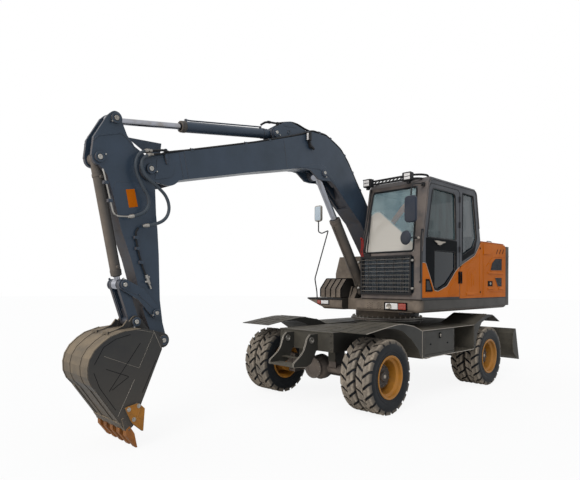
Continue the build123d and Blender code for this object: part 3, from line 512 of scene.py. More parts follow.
cast_metal = coated("dark_cast_metal", "33302F", "282625", "7A6D62", rough=0.6, facing=0.8,
                    top=0.3, low=0.2, wear="8F877E", bump=0.35, skin=160.0)
bare_steel = coated("bright_steel", "A9A7A2", "7E7A74", "7D7268", rough=0.35, metal=0.9,
                    facing=0.3, top=0.2, low=0.1, wear="D8D6D0", bump=0.04)
black_plastic = coated("black_plastic", "181A1D", "141518", "4E4740", rough=0.5, facing=0.2,
                       top=0.2, low=0.0, wear="323234", worn=0.4, bump=0.15, skin=500.0, shine=0.2)
mirror_shell = coated("mirror_shell_plastic", "2A303C", "242934", "8A8580", rough=0.45,
                      facing=0.15, top=0.1, low=0.0, wear="4A4A4C", bump=0.1, skin=500.0,
                      toward=(-0.6, -0.8, 0), shine=0.12)
barrel_paint = coated("dusty_barrel_paint", "45423F", "383736", "857769", rough=0.5, facing=0.65,
                      top=0.4, low=0.1, wear="7A746C", worn=0.4, shine=0.2)
hose_rubber = clean("hose_rubber", "3A434B", "2E353C", dust="5A544E", rough=0.5, facing=0.2,
                    top=0.2, low=0.0, bump=0.2, skin=400.0)
# Black paint for panels and seams; in holes, in slots and behind meshes it is a painted shade.
black_paint_and_hole_shade = clean("black_panel_and_painted_hole_shade", "04080C", "070A0E", dust="2E2B28", rough=0.45,
                    facing=0.05, top=0.1, low=0.0, bump=0.01, shine=0.02)
seal_rubber = clean("seal_rubber", "15171A", "101214", rough=0.6)
# Pale trim for small bright parts; put on the left front fender lip and the left box edges, it is a
# painted highlight.
pale_trim_and_edge_highlight = clean("pale_trim_and_painted_edge_highlight", "A39A8E", "8E867C", rough=0.35, metal=0.3)
ribbon_red = clean("red_ribbon_cloth", "8E302C", "6E2422", rough=0.75, bump=0.3, shine=0.1)
seat_cloth = clean("grey_seat_cloth", "3E4145", "34363A", rough=0.85, bump=0.5, skin=700.0)
interior_grey = clean("cab_interior_plastic", "4A4C50", "414347", rough=0.6)
# A brighter copy of the orange paint for the cab's inside: painted light where little light
# reaches.
lit_inside_orange = clean("inside_orange_with_painted_light", "F08A34", "DC7C2C", rough=0.5)


def make_chrome():
    material, tree, shader = new_material("chrome_rod")
    patches = effect(tree, blotches, {"Scale": 60.0, "Low": 0.45, "High": 0.75,
                                      "Stretch": (1, 0.1, 0.1)})["Mask"]
    fill(shader, {"Base Color": mixed(tree, patches, rgb("9C9EA6"), rgb("857F78")),
                  "Roughness": ranged(tree, patches, start=0.12, end=0.26), "Metallic": 1.0})
    return material


FILM_EDGES = (((0.84, 0, 1), 3.07), ((-0.9, 0, 1), 2.62), ((0, 0, 1), 2.815))   # slope and height


def make_glass(name, tint, reflection_tint, alpha, film=None, painted_shade_below=None, clear_front=False):
    """Tinted glass with a painted reflection, mottled in upright streaks; it may have a pale film,
    a painted shade low down, or be clear in front.
    """
    material, tree, shader = new_material(name)
    place = object_place(tree)
    # The upright streaks of a second, paler tint are a painted reflection.
    patches = effect(tree, blotches, {"Scale": 2.2, "Low": 0.4, "High": 0.62,
                                      "Stretch": (1, 1.6, 0.3)})["Mask"]
    shade = mixed(tree, patches, rgb(tint), rgb(reflection_tint))
    cover = ranged(tree, patches, start=alpha, end=alpha + 0.08)
    if film:
        ragged = effect(tree, blotches, {"Scale": 9.0, "Low": 0.2, "High": 0.8})["Mask"]
        low = 1.0
        for slope, limit in FILM_EDGES:
            height = node(tree, "Math", {0: ragged, 1: 0.03, 2: reach(tree, place, slope)},
                          operation="MULTIPLY_ADD").outputs[0]
            side = ranged(tree, height, limit - 0.03, limit + 0.01, 1.0, 0.0)
            low = maths(tree, "MULTIPLY", low, side)
        shade = mixed(tree, low, shade, rgb(film))
        cover = between(tree, low, cover, 0.93)
    # Below the given height the glass turns near black and almost opaque: a painted shade of the
    # cab's dim inside.
    if painted_shade_below:
        low = ranged(tree, part_of(tree, place), painted_shade_below - 0.06, painted_shade_below + 0.06, 1.0, 0.0)
        shade = mixed(tree, low, shade, rgb("07141C"))
        cover = between(tree, low, cover, 0.95)
    if clear_front:
        inner = ranged(tree, part_of(tree, place, "X"), 0.09, 0.1)
        ahead = ranged(tree, part_of(tree, place, "Y"), 0.82, 0.83, 1.0, 0.0)
        cover = between(tree, maths(tree, "MULTIPLY", inner, ahead), cover, 0.1)
    fill(shader, {"Base Color": shade, "Alpha": cover, "Roughness": 0.05,
                  "Specular IOR Level": 0.17 if painted_shade_below else 0.3})
    return material


def make_lens(name, colour, deep):
    """A moulded lamp lens with fine flutes."""
    material, tree, shader = new_material(name)
    flutes = node(tree, "TexWave", {"Vector": object_place(tree), "Scale": 28.0,
                                    "Distortion": 0.4}, bands_direction="DIAGONAL").outputs["Fac"]
    bumped = node(tree, "Bump", {"Strength": 0.4, "Distance": 0.002, "Height": flutes})
    fill(shader, {"Base Color": mixed(tree, flutes, rgb(colour), rgb(deep)), "Roughness": 0.12,
                  "Coat Weight": 0.6, "Normal": bumped.outputs[0]})
    return material


def make_tyre_rubber():
    """Rubber that is dark on its walls and in its grooves, and dusty on the tread."""
    material, tree, shader = new_material("tyre_rubber")
    patches = effect(tree, blotches, {"Scale": 4.0, "Low": 0.35, "High": 0.7})["Mask"]
    fine = effect(tree, blotches, {"Scale": 45.0, "Low": 0.3, "High": 0.75})["Mask"]
    wall = mixed(tree, patches, rgb("16181B"), rgb("202326"))
    earth = mixed(tree, patches, mixed(tree, fine, rgb("958675"), rgb("B5A795")), rgb("857C70"))
    dusty = node(tree, "Attribute", attribute_name="tread_dust").outputs["Fac"]
    cover = maths(tree, "MULTIPLY", dusty, ranged(tree, fine, start=0.65, end=1.0))
    fill(shader, {"Base Color": mixed(tree, cover, wall, earth), "Specular IOR Level": 0.15,
                  "Roughness": ranged(tree, cover, start=0.55, end=0.92),
                  "Normal": skin_bump(tree, 0.35, 220.0)})
    return material


chrome = make_chrome()
screen_glass = make_glass("windscreen_glass", "86A1A8", "B8CDCD", 0.28, "BDB6AB")
low_glass = make_glass("lower_screen_glass", "1B2831", "283640", 0.8)
clear_glass = make_glass("fixed_window_glass", "2B363B", "414C50", 0.8, clear_front=True)
# The door glass is painted darker below 2.2 m: a painted shade of the cab's inside.
dark_glass = make_glass("side_window_glass", "1E2E32", "48595A", 0.84, painted_shade_below=2.2)
# The mirror panes have no silvering: their pale blue-grey is a painted reflection of the bright
# sky.
mirror_glass = make_glass("mirror_glass", "B4C0C8", "C4CED4", 0.92)
white_lens = make_lens("white_lamp_lens", "F4EEE8", "D6D0CA")
red_lens = make_lens("orange_red_lamp_lens", "B03A1C", "842612")
tyre_rubber = make_tyre_rubber()

CAD_FINISHES = {
    boom_paint: ["boom", "arm", "rockers", "bucket_link", "arm_cylinder_barrel"],
    barrel_paint: ["boom_cylinder_barrel", "bucket_cylinder_barrel"],
    chrome: ["boom_cylinder_rod", "arm_cylinder_rod", "bucket_cylinder_rod", "blade_cylinder_rods"],
    chassis_paint: ["chassis_frame", "toolboxes", "left_toolbox_door", "right_toolbox_door",
                    "front_fenders", "rear_fenders", "front_step", "dozer_blade",
                    "blade_cylinder_barrels"],
    cast_metal: ["front_axle", "rear_axle", "drive_line", "left_knuckle", "right_knuckle",
                 "engine_block", "tie_rod"],
    bare_steel: ["slew_ring", "exhaust"],
    deck_paint: ["platform", "counterweight", "right_top_cover", "right_front_cover",
                 "engine_bay", "right_tanks"],
    cab_paint: ["cab_frame", "cab_door"],
    orange_paint: ["left_service_door", "left_rear_door", "right_rear_door", "engine_hood"],
    rim_paint: ["front_left_rims", "front_right_rims", "rear_left_rims", "rear_right_rims"],
    clear_glass: ["cab_glazing"],
    dark_glass: ["cab_door_glass"],
    black_plastic: ["front_grille", "mirrors", "lamps", "cab_controls"],
    bucket_steel: ["bucket"],
    seat_cloth: ["seat"],
    hose_rubber: ["arm_hose", "bucket_hose"],
    tyre_rubber: ["front_left_tyres", "front_right_tyres", "rear_left_tyres", "rear_right_tyres"],
}
for material, names in CAD_FINISHES.items():
    for name in names:
        nodes[name].data.materials.clear()
        nodes[name].data.materials.append(material)


# ---- the two free hoses from the boom to the arm -----------------------------------------------
HOSE_ROUTES = {
    "arm_hose": ((22, -4421, 3097), (40, -4530, 3060), (45, -4585, 2960), (45, -4580, 2840),
                 (45, -4500, 2700), (45, -4425, 2600), (45, -4425, 2480), (40, -4510, 2400),
                 (20, -4640, 2372)),
    "bucket_hose": ((22, -4400, 3060), (60, -4500, 3010), (72, -4540, 2910), (72, -4480, 2800),
                    (72, -4340, 2720), (72, -4220, 2630), (72, -4175, 2500), (72, -4220, 2380),
                    (50, -4340, 2310), (20, -4460, 2292)),
}
HOSE_THICK = 0.036


def hose_line(name, points):
    """The hose's centreline: one smooth line led by its route's points."""
    data = bpy.data.curves.new(name + "_line", "CURVE")
    data.dimensions = "3D"
    data.resolution_u = 12
    spline = data.splines.new("NURBS")
    spline.points.add(len(points) - 1)
    for point, place in zip(spline.points, points):
        point.co = (*at(*place), 1)
    spline.order_u = 3
    spline.use_endpoint_u = True
    line = bpy.data.objects.new(name + "_line", data)
    bpy.context.scene.collection.objects.link(line)
    read = bpy.data.meshes.new_from_object(line)
    path = [v.co.copy() for v in read.vertices]
    return line, path


def hose_end(name, path, toward_end):
    """A crimped ferrule and a nut on one end of a hose."""
    tip, back = (path[-1], path[-4]) if toward_end else (path[0], path[3])
    along = (back - tip).normalized()
    profile = [(-20, 0), (-20, 15), (-2, 16), (0, 20), (10, 20), (12, 23), (16, 23), (18, 21.5),
               (26, 22.5), (28, 21), (36, 22), (38, 20.5), (46, 21.5), (52, 19), (52, 14)]
    return turned(name, profile, tip, along, 28)


def add_hoses():
    for name, points in HOSE_ROUTES.items():
        line, path = hose_line(name, points)
        line.data.bevel_depth = HOSE_THICK / 2
        line.data.bevel_resolution = 5
        line.data.use_fill_caps = True
        use(line)
        bpy.ops.object.convert(target="MESH")
        tube = named(name + "_tube")
        smooth(tube, 50)
        tube.data.materials.append(hose_rubber)
        ends = [hose_end(f"{name}_{side}_ferrule", path, far)
                for side, far in (("boom", False), ("arm", True))]
        finish(ends[0], bare_steel, "boom")
        finish(ends[1], bare_steel, "arm")
        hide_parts(name)
        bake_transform(tube)


add_hoses()


# ---- wheels ------------------------------------------------------------------------------------
AXLE_Y = 1500                       # each axle, from midway between the two
TYRE_R, TYRE_OUT, TYRE_W, TYRE_PITCH = 487, 1135, 225, 235
HUB = TYRE_OUT - TYRE_W / 2 - TYRE_PITCH / 2
LUGS = 20
WHEELS = {"front_left": (1, -AXLE_Y), "front_right": (-1, -AXLE_Y), "rear_left": (1, AXLE_Y),
          "rear_right": (-1, AXLE_Y)}


def tread_block():
    """One block of the tread, flat, with its outer end drawn down the shoulder."""
    clear()
    bpy.ops.mesh.primitive_cube_add(size=1, location=way(57, 0, -15), scale=way(106, 112, 30))
    piece = named("tread_block")
    bpy.ops.object.transform_apply(location=True, rotation=True, scale=True)
    open_up(piece)
    for x in (44, 50, 70, 86, 99):
        take_all()
        bpy.ops.mesh.bisect(plane_co=way(x, 0, 0), plane_no=(1, 0, 0))
    pick(piece, "verts", lambda v: 0.043 < v.co.x < 0.051 and v.co.z > -0.01)
    bpy.ops.transform.translate(value=way(0, 0, -11))
    for x, drop, lift in ((86, 3, 0), (99, 13, 0), (110, 36, 12)):
        pick(piece, "verts", lambda v: abs(v.co.x - x / 1000) < 0.001 and v.co.z > -0.012)
        bpy.ops.transform.translate(value=way(0, 0, -drop))
        pick(piece, "verts", lambda v: abs(v.co.x - x / 1000) < 0.001 and v.co.z < -0.028)
        bpy.ops.transform.translate(value=way(0, 0, -drop - lift))
    pick(piece, "edges", lambda e: abs(e.verts[0].co.y - e.verts[1].co.y) < 0.001
         and e.calc_face_angle(0) > 1.2 and all(v.co.z > -0.012 for v in e.verts)
         and max(v.co.x for v in e.verts) < 0.1)
    bpy.ops.mesh.bevel(offset=0.005, segments=1, affect="EDGES")
    shut()
    return piece


def rolled_on(piece, radius, slant, turn):
    """Shears a flat piece by its slant and rolls it round the axle at a radius."""
    for v in piece.data.vertices:
        angle = (v.co.y + slant * v.co.x) / radius + turn
        away = radius + v.co.z
        v.co = (v.co.x, -math.sin(angle) * away, math.cos(angle) * away)
    return piece


def make_tyre():
    """One tyre at the origin with its axle along X: a casing and its blocks."""
    half = [(88, 268), (96, 283), (101, 300), (103, 322), (107, 326), (108, 336), (105, 340),
            (110, 362), (112.3, 388), (110, 414), (104, 436), (95, 450), (82, 458), (40, 461)]
    casing = turned("casing", [*half, *[(-x, r) for x, r in reversed(half)], half[0]],
                    ORIGIN, ALONG_X, 72)
    blocks, flat, step = [], tread_block(), 2 * math.pi / LUGS
    for side in (1, -1):
        for i in range(LUGS):
            new = copied(flat, [Matrix()], keep=True)[0]
            rolled_on(new, TYRE_R / 1000, -0.85, i * step + (0 if side > 0 else step / 2))
            blocks += copied(new, [Matrix.Diagonal((side, 1, 1, 1))])
    drop(flat)
    tyre = joined("tyre", [casing, *blocks])
    dust = tyre.data.attributes.new("tread_dust", "FLOAT", "POINT")
    for i, v in enumerate(tyre.data.vertices):
        away = math.hypot(v.co.y, v.co.z) * 1000
        dust.data[i].value = min(1, max(0, (away - 466) / 14)) * (1 if abs(v.co.x) < 0.1 else 0.3)
    return tyre


def make_hub():
    """The dark hub in a wheel, its nuts and its pale cap, at the origin with its axle along X."""
    drum = turned("drum", [(HUB + 20, 178), (HUB + 34, 178), (HUB + 40, 172), (HUB + 64, 158),
                           (HUB + 95, 152), (HUB + 104, 144), (HUB + 106, 84), (HUB + 96, 76),
                           (HUB + 96, 0)], ORIGIN, ALONG_X, 40)
    nut = rod("nut", way(HUB + 102, 0, 0), way(HUB + 118, 0, 0), 13, 2, 6)
    stud = rod("stud", way(HUB + 114, 0, 0), way(HUB + 124, 0, 0), 6, 1, 10)
    nut = joined("nut", [nut, stud])
    ring = [Matrix.Rotation(i * math.pi / 5, 4, "X") @ Matrix.Translation(way(0, 0, 122))
            for i in range(10)]
    bolts = [Matrix.Rotation(i * math.pi / 6 + 0.2, 4, "X") @ Matrix.Translation(way(-6, 0, 168))
             for i in range(12)]
    small = rod("small_bolt", way(HUB + 40, 0, 0), way(HUB + 54, 0, 0), 8, 1, 6)
    hub = joined("hub", [drum, *copied(small, bolts)])
    nuts = joined("nuts", copied(nut, ring))
    cap = turned("cap", [(HUB + 94, 62), (HUB + 122, 60), (HUB + 130, 54), (HUB + 132, 30),
                         (HUB + 128, 26), (HUB + 128, 0)], ORIGIN, ALONG_X, 32)
    return hub, nuts, cap


def make_rim_trim():
    """The split ring and the valve at a rim's outer edge, and a flat ring on its disc."""
    out = TYRE_OUT - 10
    ring = turned("ring", [(out - 18, 266), (out + 1, 266), (out + 4, 270), (out + 4, 279),
                           (out, 283), (out - 6, 283), (out - 6, 270), (out - 18, 270),
                           (out - 18, 266)], ORIGIN, ALONG_X, 72)
    valve = pipe("valve", [way(HUB + 30, 0, 190), way(HUB + 90, 0, 205), way(HUB + 150, 0, 232)],
                 5, 14)
    disc = turned("disc", [(HUB + 12.5, 200), (HUB + 18, 190), (HUB + 24, 176), (HUB + 24, 120),
                           (HUB + 12.5, 120)], ORIGIN, ALONG_X, 48)
    return joined("rim_ring", [ring, disc]), valve


def add_wheels():
    tyre, (hub, nuts, cap), (ring, valve) = make_tyre(), make_hub(), make_rim_trim()
    plug = turned("plug", [(HUB + 126, 0), (HUB + 126, 26), (HUB + 134, 26), (HUB + 140, 20),
                           (HUB + 140, 0)], ORIGIN, ALONG_X, 24)
    for name, (side, y) in WHEELS.items():
        place = Matrix.Translation(at(0, y, TYRE_R)) @ Matrix.Diagonal((side, 1, 1, 1))
        body = name + "_wheels"
        offsets = [Matrix.Translation(way(TYRE_OUT - TYRE_W / 2 - i * TYRE_PITCH, 0, 0))
                   for i in (0, 1)]
        turn = Matrix.Rotation(0.07 if "front" in name else 0.2, 4, "X")
        pair = fit(name + "_treaded_tyres",
                   copied(tyre, [place @ turn @ o for o in offsets], keep=True), tyre_rubber, body)
        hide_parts(name + "_tyres")
        smooth(pair, 30)
        for part, label, material in (
                (hub, "_hub", cast_metal), (nuts, "_nuts", cast_metal),
                (cap, "_hub_cap", cast_metal), (plug, "_hub_plug", pale_trim_and_edge_highlight),
                (ring, "_rim_ring", rim_paint)):
            placed(part, name + label, place, material, body)
        placed(valve, name + "_valve", place, seal_rubber, body)
    drop(tyre, hub, nuts, cap, ring, valve, plug)


add_wheels()


# ---- more ways of making -----------------------------------------------------------------------
def ring_plate(name, outer, inner, depth, edge=1.5):
    """A plate of the outer outline with the inner outline left open."""
    hole = drawn(name + "_hole", inner)
    shut()
    rim = drawn(name, outer)
    shut()
    piece = joined(name, [rim, hole])
    open_up(piece)
    bpy.ops.mesh.fill()
    take_all()
    bpy.ops.mesh.dissolve_limited(angle_limit=0.01)
    take_all()
    bpy.ops.mesh.extrude_region_move(TRANSFORM_OT_translate={"value": depth})
    take_all()
    bpy.ops.mesh.normals_make_consistent(inside=False)
    if edge:
        soften(edge, 2)
    shut()
    return piece


def side_ring(name, outer, inner, x0, x1):
    """A ring plate with (y, z) outlines, from x0 to x1."""
    return ring_plate(name, side_points(x0, outer), side_points(x0, inner), way(x1 - x0, 0, 0))


def bead(name, points, r, bend=25):
    """A closed bead of round section along corners."""
    start = (points[0] + points[1]) / 2
    return pipe(name, [start, *points[1:], points[0], start], r, bend, 2)


def side_bead(name, outline, x, r, bend=25):
    return bead(name, side_points(x, outline), r, bend)


def side_line(name, points, x, r=3, bend=20):
    """A thin raised line on a side face."""
    return pipe(name, side_points(x, points), r, bend, 2)


def bolt_heads(name, places, axis, r=9, height=10):
    """Hexagon heads on washers at places in the frame, standing along the axis."""
    axis = Vector(axis).normalized()
    head = rod("head", axis * 0.002, axis * (height + 2) / 1000, r, 1.2, 6)
    washer = rod("washer", axis * -0.002, axis * 0.002, r * 1.5, 0.8, 20)
    bolt = joined("head", [head, washer])
    return joined(name, copied(bolt, [Matrix.Translation(place) for place in places]))


SLEW_Y = 200                        # the slew axis


def round_slew(radius, degrees, z):
    """A point at a radius and an angle round the slew axis."""
    angle = math.radians(degrees)
    return at(math.sin(angle) * radius, SLEW_Y + math.cos(angle) * radius, z)


# ---- boom, arm and their pipes -----------------------------------------------------------------
BOOM_FACE, ARM_FACE = -10, -44      # left faces of the boom and the arm
MIDDLE = -150                       # middle plane of boom, arm and bucket
PINS = [  # body, y, z, outer end of the boss, radius of the boss, way the keeper bolt points
    ("boom", -4372, 2914, 8, 56, 250), ("boom", -1444, 3302, 4, 50, 200),
    ("boom", -2405, 3710, -38, 46, 240), ("arm", -4765, 3382, -30, 54, 130),
    ("arm", -4945, 2952, -30, 54, 300), ("arm", -4292, 1360, 1, 44, 110),
    ("rockers", -4677, 1667, 1, 48, 20), ("bucket", -4540, 1276, 1, 50, 150),
    ("bucket", -4201, 1057, 1, 52, 60), ("upper_body", 400, 1720, 18, 60, 90)]
BOOM_TOP_RUN = [(-3880, 3204), (-2810, 3500), (-2152, 3704), (-1884, 3795), (-1700, 3871),
                (-1400, 3871), (-1188, 3790), (-1035, 3722), (-855, 3556), (-625, 3262),
                (-466, 3076), (250, 2168)]
PIPE_RUNS = {  # radius, bend, points at the boom's nose, then x and how far below the top run
    "upper_boom_pipe": (13, 45, [(22, -4412, 3094), (22, -4300, 3118), (24, -4205, 3140),
                                 (14, -4170, 3122), (-6, -4090, 3148)], -24, 0),
    "lower_boom_pipe": (11, 40, [(22, -4396, 3058), (20, -4300, 3078), (18, -4215, 3100),
                                 (6, -4160, 3128), (-30, -4040, 3160)], -47, 2),
}
CLAMPS = [(-3820, 3220, 16), (-2980, 3453, 16), (-2560, 3573, 17), (-1790, 3830, 20),
          (-1540, 3871, 0), (-1290, 3832, -20), (-945, 3640, -42), (-740, 3410, -52),
          (-540, 3164, -50), (-200, 2738, -52), (90, 2370, -52)]
CYLINDERS = {  # foot pin, eye pin, barrel length and radius, the side its ports face
    "boom_cylinder_barrel": ((-259, 1560), (-1444, 3302), 1347, 82, 1),
    "arm_cylinder_barrel": ((-2405, 3710), (-4765, 3382), 1500, 64, -1),
    "bucket_cylinder_barrel": ((-4945, 2952), (-4677, 1667), 1215, 57, 0),
}


def make_pin_end(r):
    """A boss washer with its tab, and the bright pin end with its keeper bolt, facing +X."""
    washer = turned("washer", [(-3, r), (5, r), (8, r - 3), (8, r * 0.62), (3, r * 0.58), (3, 0)],
                    ORIGIN, ALONG_X, 32)
    tab = plate("tab", [way(0, -14, r - 6), way(0, 14, r - 6), way(0, 11, r + 26),
                        way(0, -11, r + 26)], way(8, 0, 0), 2)
    boss = joined("boss", [washer, tab])
    disc = turned("disc", [(2, r * 0.5), (11, r * 0.5), (14, r * 0.45), (14, r * 0.16),
                           (10, r * 0.12), (10, 0)], ORIGIN, ALONG_X, 32)
    bolt = rod("bolt", way(6, 0, r + 14), way(18, 0, r + 14), 9, 1, 6)
    return boss, joined("end", [disc, bolt])


def add_pin_ends():
    for i, (body, y, z, x, r, lean) in enumerate(PINS):
        boss, end = make_pin_end(r)
        turn = Matrix.Rotation(math.radians(lean), 4, "X")
        for side, label in SIDES:
            far = x if side > 0 else 2 * MIDDLE - x
            place = Matrix.Translation(at(far, y, z)) @ Matrix.Diagonal((side, 1, 1, 1)) @ turn
            placed(boss, f"{label}_pin_{i}_boss", place, boom_paint, body)
            placed(end, f"{label}_pin_{i}_end", place, bare_steel, body)
        drop(boss, end)


def pipe_clamp(y, z, lean):
    """A block clamp with its bolt, lying over the boom's pipes along a slope."""
    low = block("low", -29, 29, -20, 20, -24, -1, 3)
    top = block("top", -29, 29, -18, 18, 1, 15, 4)
    bolt = rod("bolt", way(0, AXLE_SHIFT, 12), way(0, AXLE_SHIFT, 24), 8, 1, 6)
    clamp = joined("clamp", [low, top, bolt])
    clamp.data.transform(Matrix.Translation(at(-36, y, z))
                         @ Matrix.Rotation(math.radians(lean), 4, "X")
                         @ Matrix.Translation(way(0, -AXLE_SHIFT, 0)))
    return clamp


def add_boom_pipes():
    for name, (r, bend, start, x, below) in PIPE_RUNS.items():
        points = [*start, *[(x, y, z - below) for y, z in BOOM_TOP_RUN]]
        finish(pipe(name, [at(*p) for p in points], r, bend), black_plastic, "boom")
    fit("boom_pipe_clamps", [pipe_clamp(*clamp) for clamp in CLAMPS], boom_paint, "boom")
    bracket = side_plate("bracket", [(-4205, 3160), (-4172, 3160), (-4168, 3060), (-4150, 3000),
                                     (-4176, 2992), (-4200, 3060)], BOOM_FACE, 14, 3, bend=8)
    bolt = rod("bolt", at(12, -4184, 3040), at(26, -4184, 3040), 9, 1, 6)
    fit("boom_nose_bracket", [bracket, bolt], boom_paint, "boom")
    fit("boom_pipe_nuts", [rod("nut", at(22, y, z), at(22, y + 36, z + 7), r, 3, 6)
                           for y, z, r in ((-4408, 3095, 18), (-4392, 3059, 16))],
        bare_steel, "boom")


def add_boom_plates():
    """The doubled plates and weld seams on the boom's sides, and its work lamp."""
    nose = [(-4318, 2806), (-4150, 2846), (-4085, 2880), (-4066, 2950), (-4068, 3040),
            (-4110, 3066), (-4200, 3064), (-4290, 3040)]
    ear = [(-2080, 3296), (-1990, 3312), (-1640, 3398), (-1480, 3412), (-1390, 3380),
           (-1200, 3226), (-1150, 3160), (-1168, 3146), (-1350, 3272), (-1560, 3340),
           (-1950, 3306)]
    for side, label in SIDES:
        face, inner = MIDDLE + side * (BOOM_FACE - MIDDLE), MIDDLE + side * 90
        parts = [side_plate("nose", nose, face - side * 2, face + side * 5, 2, bend=14),
                 side_plate("ear", ear, face - side * 2, face + side * 4, 2)]
        for x, r, run in ((face, 3.5, ((-3935, 3172), (-3868, 2884))),
                          (face, 3.5, ((-4000, 3152), (-3938, 2866))),
                          (face, 3, ((-2300, 3625), (-2230, 3262))),
                          (inner, 3, ((-2480, 3590), (-2420, 3740))),
                          (inner, 3, ((-2250, 3838), (-2000, 3858)))):
            parts.append(pipe("seam", side_points(x, run), r, 0, 1))
        fit(label + "_boom_doublers", parts, boom_paint, "boom")
    fit("boom_ear_rings",
        [turned("ring", [(0, 30), (4, 30), (6, 27), (4, 24), (0, 24)],
                at(MIDDLE + side * 89, -2147, 3770), (side, 0, 0), 28) for side in (1, -1)],
        boom_paint, "boom")
    housing = block("housing", -2, 52, -1852, -1792, 3690, 3812, 10, 3)
    recess(housing, lambda f: f.normal.y < -0.9 and f.calc_area() > 0.003, 6, 8)
    stay = side_plate("stay", [(-1822, 3700), (-1800, 3700), (-1762, 3640), (-1700, 3612),
                               (-1700, 3590), (-1790, 3618)], -2, 30, 3)
    foot = rod("foot", at(-10, -1772, 3622), at(14, -1772, 3622), 20, 3, 16)
    fit("boom_lamp_housing", [housing, stay, foot], black_plastic, "boom")
    finish(block("boom_lamp_lens", 5, 45, -1850, -1842, 3700, 3802, 3), white_lens, "boom")
    rib = [(-286, 3170), (-282, 3170), (-282, 3290), (-286, 3290)]
    finish(front_plate("guard_rib", rib, -4250, -4240, 1), boom_paint, "boom")


def add_arm_details():
    seams = []
    for side in (1, -1):
        for r, bend, sides, run in (
                (6, 20, 2, [(-5010, 3108), (-4960, 3166), (-4708, 3240), (-4664, 3222),
                            (-4520, 3098)]),
                (1.8, 30, 1, [(-4800, 2600), (-4764, 2740), (-4640, 2736), (-4545, 2770)]),
                (2.5, 20, 1, [(-4436, 1420), (-4330, 1440), (-4240, 1400)])):
            seams.append(pipe("seam", side_points(MIDDLE + side * 106, run), r, bend, sides))
    fit("arm_seams", seams, boom_paint, "arm")
    blank = [(-4649, 2663), (-4546, 2681), (-4504, 2497), (-4609, 2475)]
    finish(side_plate("orange_blank_plate", blank, ARM_FACE, ARM_FACE + 3, 1, bend=6),
           orange_paint, "arm")
    feed = [(-30, -4915, 2835), (-14, -4905, 2780), (-14, -4861, 2610), (-14, -4826, 2470),
            (-14, -4802, 2392), (0, -4762, 2368), (18, -4660, 2372)]
    finish(pipe("bucket_cylinder_feed_pipe", [at(*p) for p in feed], 9, 25), bare_steel, "arm")
    low = [(-26, -4508, 2270), (-26, -4538, 2225), (-26, -4530, 2120), (-26, -4494, 1975),
           (-26, -4446, 1838), (-26, -4404, 1742)]
    finish(pipe("arm_tool_pipe", [at(*p) for p in low], 10, 22), black_plastic, "arm")
    clamps = []
    for x, y, z in ((-14, -4884, 2700), (-14, -4838, 2520), (-26, -4534, 2165),
                    (-26, -4515, 2050), (-26, -4470, 1905)):
        clamps += [block("body", ARM_FACE, x + 15, y - 30, y + 22, z - 17, z + 17, 4),
                   rod("bolt", at(x + 12, y - 20, z), at(x + 24, y - 20, z), 8, 1, 6)]
    fit("arm_pipe_clamps", clamps, boom_paint, "arm")
    fit("arm_shut_off_valve",
        [rod("body", at(-24, -4412, 1772), at(-24, -4372, 1672), 19, 3, 8),
         rod("tail", at(-24, -4372, 1672), at(-24, -4350, 1622), 11, 2, 12),
         rod("stub", at(-24, -4420, 1740), at(-24, -4372, 1752), 14, 2, 6),
         rod("nut", at(-30, -4398, 1700), at(8, -4398, 1700), 12, 2, 6),
         block("lever", 0, 8, -4440, -4392, 1690, 1708, 3)], bare_steel, "arm")


def add_cylinder_details():
    """The glands, the welded ports and the pipes along the barrels."""
    for body, (foot, eye, length, r, up) in CYLINDERS.items():
        start, end = at(MIDDLE, *foot), at(MIDDLE, *eye)
        along = (end - start).normalized()
        across = ALONG_X.cross(along) * up if up else ALONG_X

        def spot(s, lift):
            return start + along * s / 1000 + across * lift / 1000

        gland = turned(body + "_gland", [
            (length - 62, r), (length - 60, r + 4), (length - 34, r + 4), (length - 30, r + 2),
            (length - 6, r + 2), (length + 3, r - 6), (length + 3, r * 0.66),
            (length - 10, r * 0.62)], start, along, 40)
        finish(gland, cast_metal if up > 0 else barrel_paint, body)
        parts = [turned("band", [(150, r), (150, r + 5), (182, r + 5), (182, r)], start, along, 40)]
        for s in (190, length - 90):
            parts.append(rod("port", spot(s, r - 6), spot(s, r - 6) + across * 0.034, 17, 3, 16))
        if up:
            parts.append(pipe("tube", [spot(190, r + 20), spot(260, r + 20),
                                       spot(length - 150, r + 14), spot(length - 90, r + 20)],
                              9, 18, 2))
        fit(body + "_ports", parts, boom_paint if up < 0 else barrel_paint, body)
        wiper = turned(body + "_wiper", [(length - 2, r * 0.72), (length + 8, r * 0.72),
                                         (length + 11, r * 0.66), (length + 8, r * 0.6)],
                       start, along, 40)
        finish(wiper, seal_rubber, body)


def add_elbow_pipe():
    """The pipe over the boom's ears that feeds the arm cylinder."""
    run = [(-2484, 3842), (-2341, 3856), (-2200, 3896), (-2050, 3932), (-1920, 3928), (-1800, 3900),
           (-1690, 3886), (-1420, 3884), (-1196, 3804)]
    lead = [at(-150, -2596, 3792), at(-124, -2566, 3826), at(-96, -2524, 3836)]
    tube = pipe("tube", lead + side_points(-96, run), 14, 40, 3)
    union = [rod("union", at(-96, -2520, 3838), at(-96, -2470, 3843), 20, 3, 6),
             block("stay", -112, -80, -2350, -2318, 3800, 3874, 4)]
    fit("arm_cylinder_feed_pipe", [tube, *union], black_plastic, "boom")


add_pin_ends()
add_boom_pipes()
add_boom_plates()
add_arm_details()
add_cylinder_details()
add_elbow_pipe()


